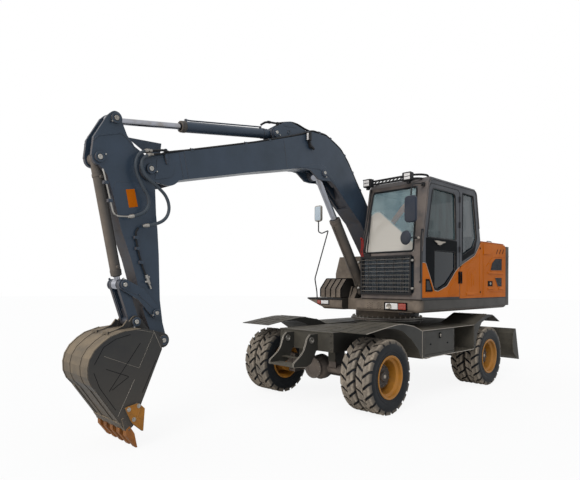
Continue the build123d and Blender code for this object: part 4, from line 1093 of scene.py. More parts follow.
# ---- bucket ------------------------------------------------------------------------------------
BUCKET_LEFT, BUCKET_RIGHT = 160, -460
SHELL = [(-4577, 1217), (-4748, 1202), (-4912, 1155), (-4997, 1103), (-5080, 1033), (-5131, 953),
         (-5151, 870), (-5146, 774), (-5111, 694), (-5040, 616)]
CUTTER = [(-4766, 432), (-4735, 446), (-4622, 463), (-4600, 456), (-4541, 400), (-4559, 175),
          (-4577, 180), (-4679, 264), (-4700, 296)]
SCRIBED_LINES = (((-4626, 1210), (-4424, 1170), (-4599, 817), (-4985, 971)),
                 ((-4650, 707), (-4836, 360)), ((-4431, 1190), (-4330, 990)))
SIDE_SEAMS = (((-4584, 1073), (-4930, 622)), ((-4962, 843), (-4714, 743), (-4900, 631)),
              ((-4560, 560), (-4400, 880)),
              ((-5085, 900), (-4990, 1060), (-4860, 1130), (-4700, 1165)),
              ((-5090, 820), (-5030, 670), (-4860, 430)))


def shell_band(name, low, high, x0, x1, lift=8):
    """A band that lies on the rolled shell between two places along it."""
    run = [at(x0, *p) for p in SHELL[low:high]]
    middle = at(x0, -4700, 780)
    outer = [p + (p - middle).normalized() * lift / 1000 for p in run]
    inner = [p - (p - middle).normalized() * 0.004 for p in run]
    return plate(name, [*outer, *reversed(inner)], way(x1 - x0, 0, 0), 2)


def straight_band(name, x0, x1, lift, start=(-5046, 622), end=(-4780, 258)):
    """A wear strip on the straight floor of the bucket."""
    a, b = at(x0, *start), at(x0, *end)
    out = Vector((0, a.z - b.z, b.y - a.y)).normalized()
    if out.y > 0:
        out = -out
    return plate(name, [a - out * 0.004, b - out * 0.004, b + out * lift / 1000,
                        a + out * lift / 1000], way(x1 - x0, 0, 0), 2)


def make_tooth():
    """One cast tooth on its adapter, drawn at the middle of the bucket."""
    tip = [(-4752, 216), (-4708, 246), (-4654, 162), (-4621, 16), (-4641, 16), (-4748, 150)]
    tooth = side_plate("tooth", tip, MIDDLE - 34, MIDDLE + 34, 3)
    recess(tooth, lambda f: abs(f.normal.x) > 0.9 and f.calc_area() > 0.004, 9, 2)
    rib = side_plate("rib", [(-4752, 190), (-4742, 146), (-4662, 52), (-4658, 60), (-4735, 160),
                             (-4744, 196)], MIDDLE - 7, MIDDLE + 7, 2)
    adapter = side_plate("adapter", [(-4800, 330), (-4774, 340), (-4726, 262), (-4696, 236),
                                     (-4735, 196), (-4766, 210)], MIDDLE - 30, MIDDLE + 30, 4)
    pin = rod("pin", at(MIDDLE - 38, -4716, 212), at(MIDDLE + 38, -4716, 212), 9, 1.5, 12)
    return joined("tooth", [tooth, rib]), joined("adapter", [adapter, pin])


def add_bucket():
    bands = [shell_band("band", 1, 10, x0, x1, 6)
             for x0, x1 in ((-456, -430), (-282, -262), (-38, -18), (130, 156))]
    bands += [straight_band("strip", x0, x1, 8)
              for x0, x1 in ((-452, -388), (-286, -250), (-50, -14), (88, 152))]
    bands.append(straight_band("lip_bar", -456, 156, 12, (-4800, 286), (-4752, 220)))
    fit("bucket_wear_bands", bands, bucket_steel, "bucket")
    light, dark = [], []
    for x in (BUCKET_LEFT, BUCKET_RIGHT):
        light += [side_line("line", run, x, 1.6, 0) for run in SCRIBED_LINES]
        dark += [side_line("line", run, x, 2.4, 10) for run in SIDE_SEAMS]
    fit("bucket_scribed_lines", light, pale_trim_and_edge_highlight, "bucket")
    fit("bucket_side_seams", dark, black_paint_and_hole_shade, "bucket")
    for side, label in SIDES:
        face = MIDDLE + side * 328
        cutter = side_plate("cutter", CUTTER, face - side * 12, face + side * 5, 4, bend=4)
        ribs = [side_line("rib", run, face + side * 4, 5, 0)
                for run in (((-4726, 378), (-4560, 292)), ((-4588, 424), (-4640, 306)))]
        fit(label + "_side_cutter", [cutter, *ribs], cutter_paint, "bucket")
        bolts = side_points(face + side * 4, ((-4725, 416), (-4612, 436), (-4668, 309)))
        finish(bolt_heads(label + "_cutter_bolts", bolts, (side, 0, 0), 15), bare_steel, "bucket")
    tooth, adapter = make_tooth()
    shifts = [Matrix.Translation(way(i * 144, 0, 0)) for i in range(-2, 3)]
    fit("bucket_teeth", copied(tooth, shifts), tooth_paint, "bucket")
    fit("tooth_adapters", copied(adapter, shifts), bucket_steel, "bucket")
    gussets = []
    ear = [(-4900, 1172), (-4800, 1196), (-4690, 1238), (-4640, 1300), (-4600, 1260),
           (-4650, 1200), (-4780, 1172), (-4890, 1146)]
    brace = [(-4600, 1214), (-4520, 1214), (-4470, 1270), (-4500, 1290)]
    for x in (MIDDLE + 124, MIDDLE - 124):
        gussets += [side_plate("ear", ear, x - 12, x + 12, 3, bend=6),
                    block("cross", x - 60, x + 60, -4886, -4872, 1140, 1196, 3),
                    side_plate("brace", brace, x - 40, x - 20, 3)]
    fit("bucket_ear_gussets", gussets, bucket_steel, "bucket")
    fit("bucket_back_seams", [shell_band("seam", 0, 3, x, x + 8, 5) for x in (-60, -250)],
        bucket_steel, "bucket")


add_bucket()


# ---- linkage -----------------------------------------------------------------------------------
def add_linkage():
    """Grease points and edge rolls on the rockers and the bucket link."""
    parts = []
    for side in (1, -1):
        x = MIDDLE + side * 138
        parts += [side_line("edge", [(-4640, 1600), (-4520, 1560), (-4400, 1470), (-4340, 1420)],
                            x, 3, 30),
                  rod("grease", at(x, -4500, 1560), at(x + side * 14, -4500, 1560), 6, 1, 8)]
    fit("rocker_edge_rolls", parts, boom_paint, "rockers")
    fit("link_edge_rolls", [side_line("edge", [(-4700, 1590), (-4610, 1340)], x, 5, 0)
                            for x in (-196, -104)], boom_paint, "bucket_link")


add_linkage()


# ---- cab ---------------------------------------------------------------------------------------
UPPER_PANE = [(-455, 2360), (-300, 3050), (-262, 3078), (375, 3072), (410, 3030), (440, 2360)]
LOWER_PANE = [(-240, 1620), (-240, 2180), (430, 2180), (430, 1905), (140, 1690), (-110, 1610)]
QUARTER = [(660, 2140), (660, 3120), (1030, 3110), (1165, 2440), (1060, 2290)]
RIGHT_PANE = [(-480, 2150), (-290, 3110), (1030, 3110), (1165, 2440), (1060, 2290), (660, 2140)]
SWEEP = [(-580, 1985), (-492, 1988), (-246, 1592), (-131, 1577), (140, 1651), (427, 1887),
         (548, 1952)]
DOOR_SKIN = 1053                    # outer face of the cab door


def lean_back(z):
    """How far the leaning windscreen stands back at a height."""
    return (z - 2115) * 215 / 1055


def add_cab_door():
    door = "cab_door"
    finish(side_plate("orange_door_field", [(-580, 1490), *SWEEP, (548, 1490)], 1044, DOOR_SKIN,
                      1.5), orange_paint, door)
    finish(side_ring("door_black_panel",
                     [(-486, 2350), (-486, 1996), (-243, 1604), (-131, 1590), (136, 1664),
                      (420, 1898), (470, 1926), (470, 2350)],
                     [(-232, 1640), (-232, 2172), (422, 2172), (422, 1912), (136, 1698),
                      (-110, 1618)], 1046, 1052), black_paint_and_hole_shade, door)
    trim = [(-576, 1988), (-492, 1991), (-245, 1596), (-131, 1581), (140, 1655), (427, 1891),
            (548, 1956)]
    finish(side_line("door_light_trim", trim, DOOR_SKIN, 4, 30), pale_trim_and_edge_highlight, door)
    rim = [(-508, 1566), (-508, 1766), (-384, 1766), (-274, 1590), (-286, 1566)]
    creases = [side_line("crease", run, DOOR_SKIN, r, bend) for r, bend, run in (
        (4, 12, [(207, 1545), (206, 1586), (442, 1788)]),
        (4, 12, [(240, 1520), (486, 1522), (520, 1556), (524, 1600)]),
        (3, 0, [(-576, 1500), (540, 1500)]))]
    creases.append(side_bead("latch_rim", rim, DOOR_SKIN, 5, 8))
    fit("door_creases", creases, orange_paint, door)
    cup = [(-500, 1574), (-500, 1758), (-388, 1758), (-284, 1592), (-292, 1574)]
    finish(side_plate("door_latch_cup", cup, 1046, 1055, 2), black_paint_and_hole_shade, door)
    paddle = [(-476, 1600), (-476, 1730), (-404, 1730), (-336, 1612), (-340, 1600)]
    finish(side_plate("door_latch_paddle", paddle, DOOR_SKIN, 1059, 3), black_plastic, door)
    lever = [(-246, 2318), (-160, 2324), (-40, 2316), (78, 2318), (74, 2304), (0, 2292),
             (-40, 2272), (-90, 2258), (-150, 2262), (-176, 2286), (-236, 2304)]
    finish(side_plate("door_release_lever", lever, 1052, 1066, 4), pale_trim_and_edge_highlight, door)
    pocket = side_plate("pocket", [(507, 1694), (507, 1884), (552, 1884), (552, 1694)], 1050, 1056)
    grip = pipe("grip", [at(1054, 534, 1710), at(1070, 534, 1722), at(1070, 534, 1856),
                         at(1054, 534, 1868)], 7, 10)
    fit("door_handle_pocket", [pocket, grip], black_paint_and_hole_shade, door)
    gap = [(-586, 1990), (-586, 2112), (-389, 3088), (-340, 3144), (508, 3144), (556, 3096),
           (556, 1960)]
    fit("door_seals", [side_bead("seal", UPPER_PANE, 1051, 8, 36),
                       side_bead("seal", LOWER_PANE, 1047, 6, 18),
                       side_line("seal", gap, 1049, 5, 20)], seal_rubber, door)
    fit("door_hinge_knuckles", [rod("hinge", at(1054, 552, z), at(1054, 552, z + 90), 13, 3, 16)
                                for z in (2180, 2560, 2960)], black_plastic, door)
    band = [(-300, 3088), (-270, 3112), (470, 3106), (470, 3090), (-262, 3094)]
    finish(side_plate("door_top_band", band, 1048, 1052, 1), cab_paint, door)


def add_cab_body():
    finish(side_plate("cab_orange_strip", [(566, 1466), (566, 1952), (585, 1950), (585, 1466)],
                      1046, 1052, 1), orange_paint)
    finish(side_plate("cab_handle_post", [(567, 1694), (567, 1884), (585, 1884), (585, 1694)],
                      1050, 1055, 1), black_paint_and_hole_shade)
    finish(side_ring("quarter_black_panel",
                     [(640, 2040), (648, 3126), (1038, 3120), (1180, 2432), (1128, 2300),
                      (1080, 2190)],
                     [(664, 2152), (664, 3104), (1022, 3100), (1152, 2440), (1052, 2300)],
                     1046, 1052), black_paint_and_hole_shade, "upper_body")
    trim = [(596, 1972), (640, 1996), (1094, 2152), (1290, 2342)]
    finish(side_line("cab_rear_trim", trim, 1050, 4, 20), pale_trim_and_edge_highlight, "upper_body")
    seals = [side_bead("seal", QUARTER, 1050, 6, 20), side_bead("seal", RIGHT_PANE, 54, 6, 20)]
    screen = [at(x, -622 + lean_back(z), z) for x, z in ((118, 2158), (152, 3104), (878, 3104),
                                                         (928, 2158))]
    fit("cab_window_seals", [*seals, bead("seal", screen, 13, 40)], seal_rubber)
    lower = [at(x, -621, z) for x, z in ((108, 1556), (108, 2086), (940, 2086), (940, 1556))]
    finish(bead("lower_screen_seal", lower, 8, 30), seal_rubber)
    gutter = [(-592, 2150), (-400, 3140), (-330, 3212), (1090, 3206), (1146, 3160), (1250, 2600)]
    finish(pipe("cab_rain_gutter", side_points(1054, gutter), 7, 40), cab_paint)
    hatch = block("roof_hatch", 240, 860, 60, 640, 3232, 3268, 14, 4)
    ribs = [block("rib", x, x + 26, 720, 1040, 3226, 3252, 8, 3) for x in (220, 380, 540, 700, 860)]
    fit("cab_roof_hatch", [hatch, *ribs], cab_paint)


def add_roof_guard():
    """The bars in front of the roof, and the two square work lamps."""
    rails = [pipe("bar", [at(90, y, z - 34), at(90, y, z), at(800, y, z), at(900, y + 70, z),
                          at(940, y + 200, z), at(940, y + 210, z - 30)], 16, 40)
             for y, z in ((-486, 3226), (-420, 3292))]
    rails += [rod("rung", at(x, -484, 3228), at(x + 30, -422, 3290), 10, 1, 12)
              for x in range(190, 700, 62)]
    fit("roof_guard_bars", rails, black_plastic, "upper_body")
    stay = [(-540, 3150), (-540, 3200), (-500, 3200), (-460, 3236), (-440, 3236), (-440, 3220),
            (-500, 3150)]
    for x in (52, 738):
        housing = [block("body", x - 2, x + 122, -562, -482, 3188, 3312, 12, 3),
                   block("visor", x - 2, x + 122, -572, -540, 3300, 3312, 4, 2),
                   side_plate("stay", stay, x + 40, x + 80, 4)]
        housing += [block("fin", x + 4, x + 116, -484, -470, z, z + 7, 2, 1)
                    for z in range(3204, 3295, 18)]
        fit(f"roof_lamp_{x}_housing", housing, black_plastic)
        finish(block(f"roof_lamp_{x}_lens", x + 14, x + 106, -570, -560, 3206, 3296, 5, 3),
               white_lens)
        finish(block(f"roof_lamp_{x}_bar", x + 14, x + 106, -574, -566, 3246, 3254, 2, 1),
               black_plastic)


def add_grab_rail():
    """The bent rail at the cab's front corner, and the wiper with its cable."""
    rail = pipe("rail", [at(1040, -572, 2452), at(1064, -634, 2420), at(1064, -650, 2200),
                         at(1064, -650, 1800), at(1046, -604, 1716)], 10, 40)
    feet = [rod("foot", at(1030, -572, 2452), at(1056, -572, 2452), 18, 2, 16),
            rod("foot", at(1040, -600, 1716), at(1040, -626, 1716), 18, 2, 16)]
    fit("cab_grab_rail", [rail, *feet], black_plastic)
    fit("screen_wiper",
        [pipe("arm", [at(190, -640, 2140), at(186, -640, 2200), at(170, -520, 2760)], 8, 20),
         pipe("blade", [at(176, -600, 2300), at(160, -520, 2800)], 6, 0),
         block("motor", 150, 240, -652, -622, 2100, 2146, 8, 3),
         pipe("cable", [at(130, -640, 2090), at(112, -650, 2240), at(124, -600, 2500),
                        at(136, -540, 2800), at(130, -470, 3060), at(120, -440, 3160)], 9, 60)],
        black_plastic)


def add_screen():
    """The leaning windscreen: one pane with bevelled edges in front of its frame opening."""
    corners = [at(x, -613 + lean_back(z), z) for x, z in ((112, 2152), (152, 3108), (878, 3108),
                                                          (933, 2152))]
    finish(plate("windscreen_pane", corners, Vector((0, -0.98, -0.2)) * 0.005, 1), screen_glass)
    finish(block("lower_screen_pane", 118, 932, -610, -604, 1564, 2076, 1), low_glass)


def add_cab_grille():
    fit("grille_bright_bars", [rod("bar", at(88, -648, z), at(897, -648, z), 2.6, 0.6, 8, 1)
                               for z in range(1583, 2048, 58)],
        pale_trim_and_edge_highlight, "upper_body")
    posts = []
    for i in range(1, 20):
        x = 70 + i * 42.2
        posts.append(rod("post", at(x, -638, 1545), at(x, -638, 1810), 2.2, 0.5, 8, 1))
    fit("grille_upright_rods", posts, cab_paint)
    stud = [(-26, 0), (-26, 15), (6, 15), (12, 20), (24, 20), (32, 14), (34, 0)]
    fit("grille_studs", [turned("stud", stud, at(x, -646, z), (0, -1, 0), 20)
                         for x in (46, 944) for z in (1622, 2022)], bare_steel)
    fit("grille_tabs", [block("tab", x, x + 40, -640, -616, z - 14, z + 14, 4)
                        for x in (36, 914) for z in (1622, 2022)],
        black_plastic, "upper_body")


def add_mirrors():
    left = front_plate("left_mirror_shell", [(892, 2548), (892, 2922), (1066, 2922), (1066, 2548)],
                       -800, -742, 16, bend=50, segments=4)
    recess(left, lambda f: f.normal.y > 0.9 and f.calc_area() > 0.01, 8, 4)
    smooth(left, 50)
    finish(left, mirror_shell)
    finish(block("left_mirror_pane", 920, 1040, -752, -744, 2580, 2890, 3), mirror_glass)
    arm = pipe("arm", [at(980, -768, 2890), at(982, -770, 3000), at(984, -750, 3090),
                       at(985, -560, 3120), at(985, -420, 3130)], 10, 60)
    knuckle = block("knuckle", 962, 1006, -470, -420, 3098, 3152, 8, 3)
    fit("left_mirror_arm", [arm, knuckle], black_plastic)
    centre, facing = at(905, -775, 2338), (-0.3, -0.954, 0)
    finish(turned("round_mirror_shell", [(30, 0), (30, 40), (22, 78), (8, 98), (0, 102), (-4, 102),
                                         (-4, 94), (0, 92), (0, 0)], centre, facing), mirror_shell)
    finish(turned("round_mirror_glass", [(3, 0), (3, 91), (-2, 91), (-6, 60), (-8, 0)], centre,
                  facing), mirror_glass)
    fit("round_mirror_stalk",
        [pipe("stalk", [at(905, -766, 2338), at(930, -735, 2338), at(1004, -600, 2340)], 8, 20),
         rod("ball", at(975, -660, 2340), at(1000, -612, 2340), 16, 5, 16)], black_plastic)
    finish(rod("round_mirror_bolt", at(1004, -606, 2340), at(1018, -634, 2340), 17, 5, 16),
           pale_trim_and_edge_highlight, "upper_body")
    right = front_plate("right_mirror_shell", [(-909, 2746), (-909, 3014), (-761, 3014),
                                               (-761, 2746)], -586, -540, 12, bend=34, segments=4)
    recess(right, lambda f: f.normal.y < -0.9 and f.calc_area() > 0.01, 8, 5)
    smooth(right, 50)
    finish(right, pale_trim_and_edge_highlight)
    finish(front_plate("right_mirror_pane", [(-895, 2762), (-895, 2998), (-775, 2998),
                                             (-775, 2762)], -589, -578, bend=26), mirror_glass)
    path = [(-562, 2766), (-562, 2567), (-475, 2547), (-300, 2610), (-652, 1768), (-600, 1560),
            (-590, 1440)]
    finish(pipe("right_mirror_stalk", side_points(-835, path), 10, 26), black_plastic)
    finish(block("right_mirror_clip", -870, -800, -575, -548, 2740, 2766, 5), black_plastic)
    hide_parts("mirrors")


def add_cab_inside():
    bottle = [(0, 0), (0, 52), (8, 56), (230, 56), (262, 40), (276, 18), (276, 0)]
    finish(turned("cab_extinguisher", bottle, at(900, 960, 2560), (0, 0, 1), 32), ribbon_red)
    fit("cab_extinguisher_head", [rod("neck", at(900, 960, 2830), at(900, 960, 2866), 16, 3, 16),
                                  block("lever", 880, 920, 930, 1010, 2862, 2878, 5)],
        black_plastic)
    # The brace takes the brighter orange: painted light inside the cab.
    brace = [at(x, -340, z) for x, z in ((262, 2515), (330, 2455), (710, 2870), (642, 2930))]
    finish(plate("cab_orange_brace", brace, way(0, 26, 0), 4), lit_inside_orange)
    strips = []
    for i, (x, lean) in enumerate(((66, 20), (88, -12), (104, 8))):
        run = [(x, 2380), (x + lean, 2280), (x - lean / 2, 2180), (x + lean, 2100)]
        left = [at(a, -646 - i * 4, z) for a, z in run]
        right = [at(a + 18, -646 - i * 4, z) for a, z in reversed(run)]
        strips.append(plate("strip", [*left, *right], way(0, 2, 0), 0.5))
    knot = turned("knot", [(-14, 0), (-12, 14), (0, 20), (12, 14), (14, 0)], at(86, -652, 2384),
                  (1, 0, 0.3), 16)
    fit("screen_post_ribbon", [*strips, knot], ribbon_red)
    mat = [block("mat", 130, 970, -540, 520, 1496, 1506, 3)]
    for x in (400, 600):
        mat += [block("pedal", x, x + 90, -480, -360, 1540, 1556, 5),
                rod("pedal_arm", at(x + 45, -420, 1500), at(x + 45, -440, 1545), 12, 2, 12),
                pipe("travel_lever", side_points(x + 45, [(-440, 1550), (-430, 1700),
                                                          (-380, 1900)]), 10, 60)]
    fit("cab_floor_mat", mat, interior_grey)
    fit("cab_dash", [block("monitor", 220, 400, -430, -390, 2180, 2320, 10, 3),
                     rod("stem", at(310, -410, 2000), at(310, -410, 2190), 12, 2, 12),
                     block("tray", 200, 420, -470, -330, 1960, 2000, 10, 3)], interior_grey)


add_cab_door()
add_cab_body()
add_roof_guard()
add_grab_rail()
add_screen()
add_cab_grille()
add_mirrors()
add_cab_inside()


# ---- engine house ------------------------------------------------------------------------------
DOOR_FACE, HOOD_TOP = 1050, 2407


def slanted_facet(name, outline, x, swell):
    """A raised facet that grows out from its top edge to its lower edge."""
    piece = side_plate(name, outline, x - 6, x + 1, 0)
    low, high = min(p[1] for p in outline), max(p[1] for p in outline)
    open_up(piece)
    pick(piece, "verts", lambda v: v.co.x > (x - 2) / 1000
         and v.co.z * 1000 < low + 0.35 * (high - low))
    bpy.ops.transform.translate(value=way(swell, 0, 0))
    take_all()
    soften(1.5, 2)
    shut()
    return piece


def mesh_window(outline):
    """A dark back, a painted shade behind the mesh, and its woven wires, for a left door's face at
    x = 0.
    """
    back = side_plate("back", outline, -4, 1.5, 0.5, bend=10)
    wires = []
    for axis, x in ((1, 2), (0, 3)):
        low, high = min(p[axis] for p in outline), max(p[axis] for p in outline)
        count = int((high - low) / 16)
        for i in range(1, count):
            level = low + (high - low) * i / count
            ends = crossing(outline, level, axis)
            run = [(end, level) if axis else (level, end) for end in ends]
            wires.append(rod("wire", *side_points(x, run), 1.8, 0, 6, 1))
    return back, joined("wires", wires)


def crossing(outline, value, axis):
    """Where a line at a value of one axis enters and leaves the outline."""
    hits = []
    for p, q in zip(outline, outline[1:] + outline[:1]):
        if min(p[axis], q[axis]) <= value < max(p[axis], q[axis]):
            t = (value - p[axis]) / (q[axis] - p[axis])
            hits.append(p[1 - axis] + t * (q[1 - axis] - p[1 - axis]))
    return min(hits), max(hits)


def add_service_door():
    door = "left_service_door"
    fit("service_door_creases", [side_line("crease", run, DOOR_FACE, r, 18) for r, run in (
        (5, [(775, 1955), (867, 2017), (1081, 2094), (1240, 2152)]),
        (4, [(824, 1560), (822, 1870), (891, 1934), (1143, 1988)]),
        (4, [(894, 1600), (892, 1838), (963, 1891), (1143, 1956)]),
        (4, [(977, 1640), (975, 1848), (1131, 1934)]),
        (4, [(1049, 1670), (1047, 1828), (1144, 1890)]),
        (4, [(1283, 1560), (1277, 2195)]),
        (4, [(640, 1500), (1360, 1500)]),
        (5, [(600, 1940), (652, 1986), (1098, 2146), (1296, 2337), (1340, 2374)]))],
        orange_paint, door)
    facet = [(778, 1562), (1215, 1552), (1000, 1516), (800, 1520)]
    finish(slanted_facet("service_door_low_facet", facet, DOOR_FACE, 9), orange_paint, door)
    pocket = [(598, 1694), (598, 1884), (642, 1884), (650, 1700)]
    fit("service_door_pocket", [side_plate("pocket", pocket, DOOR_FACE, 1056),
                                block("catch", 1052, 1064, 610, 630, 1740, 1840, 4)],
        black_paint_and_hole_shade, door)
    dimple = [(-2, 0), (-2, 17), (3, 17), (5, 13), (2, 9), (2, 0)]
    fit("service_door_hinge_caps", [turned("dimple", dimple, place, ALONG_X, 20)
                                    for place in side_points(DOOR_FACE, ((1300, 2280),
                                                                         (1308, 1556)))],
        black_paint_and_hole_shade, door)


def add_rear_doors():
    """Each rear door's windows, slots, pressings and lock, made at x = 0 and put on its face."""
    high = [(1756, 2050), (1902, 2132), (2185, 2141), (2183, 1928), (1693, 1920)]
    low = [(1878, 1802), (2182, 1804), (2180, 1644), (2003, 1645)]
    for side, face, body in ((1, DOOR_FACE, "left_rear_door"), (-1, -1014, "right_rear_door")):
        backs, wires = [list(group) for group in zip(mesh_window(high), mesh_window(low))]
        # The slots are dark plates: painted shade in the openings.
        for y, z in ((1977, 2252), (2107, 2257), (2237, 2263)):
            slot = [(y + 40, z + 44), (y + 18, z + 44), (y - 40, z - 40), (y - 18, z - 40)]
            backs.append(side_plate("slot", slot, -3, 3, 1))
        backs.append(block("lock", -3, 4, 1600, 1790, 1652, 1742, 2))
        lines = [side_line("crease", run, 0, r, bend) for r, bend, run in (
            (6, 20, [(1535, 1985), (1799, 2158), (2336, 2168)]),
            (6, 0, [(1565, 1562), (2340, 1558)]), (3, 0, [(1440, 1500), (1440, 2200)]))]
        for y0, y1, z in ((1600, 2232, 1890), (2050, 2236, 1624), (1600, 1800, 1625)):
            ledge = [(y0, z + 6), (y1, z + 8), (y1, z - 22), (y0, z - 22)]
            lines.append(slanted_facet("ledge", ledge, 0, 14))
        facet = [(1424, 2372), (1930, 2340), (1665, 2190), (1424, 2188)]
        lines.append(slanted_facet("top_facet", facet, 0, 12))
        lines += [side_bead("rim", outline, 1, 5, 12) for outline in (high, low)]
        lock = [turned("lock", [(-2, 0), (-2, 24), (9, 24), (13, 18), (13, 0)], at(0, 1695, 1697),
                       ALONG_X, 24), block("key", 8, 16, 1690, 1700, 1680, 1714, 1)]
        move = Matrix.Translation(way(face, 0, 0)) @ Matrix.Diagonal((side, 1, 1, 1))
        for label, parts, paint in (("_meshes", backs, black_paint_and_hole_shade),
                                    ("_pressings", lines, orange_paint),
                                    ("_lock", lock, bare_steel), ("_wires", wires, interior_grey)):
            flat = joined("flat", parts)
            placed(flat, body + label, move, paint, body)
            drop(flat)


def add_hood():
    ribs = [block("rib", x, x + 40, 1440, 2290, HOOD_TOP - 4, HOOD_TOP + 6, 4)
            for x in (-560, -330, 520, 750)]
    panel = block("panel", -230, 430, 1450, 2280, HOOD_TOP - 4, HOOD_TOP + 8, 7, 3)
    edges = [pipe("edge", [at(x, 1376, HOOD_TOP - 3), at(1010, y, HOOD_TOP - 3)], 6, 0, 3)
             for x, y in ((1010, 2350), (-655, 1376))]
    fit("hood_pressings", [*ribs, panel, *edges], orange_paint, "engine_hood")
    grip = [(1780, HOOD_TOP), (1780, HOOD_TOP + 26), (1960, HOOD_TOP + 26), (1960, HOOD_TOP)]
    finish(pipe("hood_grip", side_points(960, grip), 7, 14), black_plastic, "engine_hood")
    band = [(-10, 56), (-10, 62), (10, 62), (10, 56)]
    flange = [(0, 56), (0, 84), (12, 84), (12, 56)]
    fit("exhaust_bands", [turned("band", profile, at(-820, 1700, z), (0, 0, 1), 32)
                          for profile, z in ((band, 2440), (band, 2720), (flange, 2410))],
        bare_steel)
    fit("exhaust_shield_slats", [block("slat", -882, -876, y, y + 12, 2470, 2690, 2)
                                 for y in (1670, 1692, 1714)], cast_metal)


def add_counterweight():
    seams = [pipe("seam", [round_slew(2402, i, z) for i in range(-24, 25)], 5, 0, 2)
             for z in (1520, 2190, 2330)]
    seams += [side_line("seam", [(2384, 2190), (2484, 2190)], side * 1051, 5, 0)
              for side in (1, -1)]
    fit("counterweight_seams", seams, deck_paint)
    for side, label, front in ((1, "left", 2347), (-1, "right", 2378)):
        corner = [(1051, front), (1051, 2484), (1040, 2514), (1012, 2532), (560, 2538),
                  (560, 2500), (1000, front + 39), (1040, front)]
        cheek = plate(label + "_counterweight_cheek", [at(side * x, y, 1312) for x, y in corner],
                      way(0, 0, 1052), 9, segments=3)
        smooth(cheek, 40)
        finish(cheek, deck_paint)
    collar = [(0, 20), (0, 44), (8, 44), (12, 38), (12, 20), (0, 20)]
    finish(turned("lifting_collar", collar, at(0, 2470, 2370), (0, 0, 1), 32), cast_metal)
    fit("tail_reflectors", [block("reflector", x - 70, x + 70, 2512, 2544, 1590, 1640, 8, 3)
                            for x in (-800, 800)], red_lens)


add_service_door()
add_rear_doors()
add_hood()
add_counterweight()


# ---- platform and chassis ----------------------------------------------------------------------
BOX_FACE = 1118                     # outer face of a side box
FRONT_TOP = [(-2030, 1076), (-1640, 1126), (-1336, 1158), (-1189, 1156), (-910, 1112), (-712, 1040)]
REAR_TOP = [(932, 1040), (1393, 1188), (1640, 1168), (1905, 1052)]
STEP_EDGE = [(-2013, 998), (-2075, 946), (-2100, 877), (-2139, 788), (-2201, 727), (-2342, 637),
             (-2350, 583), (-2094, 568)]


def add_platform_front():
    hole = [(-4, 0), (-4, 6), (1.5, 7), (1.5, 5), (-1, 4), (-1, 0)]
    # The vent holes are black dimples: painted shade inside the holes.
    fit("platform_vent_holes",
        [turned("hole", hole, at(x0 + i * 26, -620, 1318 + j * 32 + (16 if i % 2 else 0)),
                (0, -1, 0), 12) for x0 in (186, 352) for i in range(4) for j in range(3)],
        black_paint_and_hole_shade, "upper_body")
    outer, inner = [[at(x, -632, z) for x, z in outline] for outline in (
        ((474, 1298), (474, 1414), (846, 1414), (846, 1298)),
        ((492, 1310), (492, 1402), (828, 1402), (828, 1310)))]
    finish(ring_plate("headlamp_surround", outer, inner, way(0, 14, 0), 3), black_paint_and_hole_shade)
    finish(block("headlamp_white_lens", 494, 694, -636, -620, 1311, 1401, 8, 3), white_lens)
    finish(turned("headlamp_bowl", [(0, 0), (2, 26), (10, 36), (12, 38), (9, 40), (0, 42)],
                  at(560, -637, 1356), (0, -1, 0), 32), pale_trim_and_edge_highlight)
    red = block("red", 704, 826, -636, -620, 1311, 1401, 8, 3)
    ring = turned("ring", [(0, 0), (6, 16), (4, 34), (0, 36)], at(765, -634, 1356), (0, -1, 0), 28)
    fit("headlamp_red_lens", [red, ring], red_lens)
    finish(block("right_lamp_red_lens", -796, -722, -640, -630, 1350, 1408, 5, 3), red_lens)
    finish(block("right_lamp_white_lens", -712, -564, -640, -630, 1350, 1408, 5, 3), white_lens)
    fit("platform_front_trim", [block("housing", -806, -554, -632, -612, 1340, 1416, 6, 3),
                                block("lip", -1014, -302, -634, -600, 1424, 1450, 5, 3),
                                block("horn", 700, 790, -610, -540, 1236, 1278, 8, 3),
                                block("bracket", 860, 930, -560, -440, 1226, 1278, 6, 3)],
        black_plastic, "upper_body")
    lines = [pipe("line", [at(-20, -621, z), at(930, -621, z)], 5, 0, 2) for z in (1443, 1278)]
    side = side_line("line", [(-540, 1306), (2340, 1306)], 1050, 5, 0)
    fit("platform_rolled_edges", [side, *lines], deck_paint)
    # A dark line in the seal rubber finish along the gap under the cab: painted shade of the gap.
    finish(side_line("cab_base_gap", [(-600, 1458), (2350, 1458)], 1047, 7, 0), seal_rubber,
           "upper_body")
    rib = [(-586, 1468), (-586, 1602), (-424, 1771), (-64, 1771)]
    fit("right_cover_dark_ribs", [pipe("rib", side_points(x, rib), 8, 20, 2)
                                  for x in (-770, -668, -560, -450, -350)],
        black_paint_and_hole_shade, "right_front_cover")


def add_slew_bolts():
    finish(bolt_heads("slew_ring_bolts", [round_slew(545, i * 9, 1142) for i in range(40)],
                      (0, 0, 1), 10, 26), pale_trim_and_edge_highlight, "chassis")
    band = [(1108, 571), (1108, 575), (1120, 578), (1134, 575), (1134, 571)]
    finish(turned("slew_ring_groove_band", band, at(0, SLEW_Y, 0), (0, 0, 1), 96), cast_metal,
           "chassis")
    finish(rod("slew_grease_point", at(0, SLEW_Y - 574, 1120), at(0, SLEW_Y - 600, 1120), 7, 1, 8),
           bare_steel, "chassis")


def fender_rolls(points, xs, r):
    return [pipe("roll", side_points(x, points), r, 60, 2) for x in xs]


def fender_beads(side, points):
    return [pipe("across", [at(side * 570, y, z + 1), at(side * 1112, y, z + 1)], 5, 0, 2)
            for y, z in points]


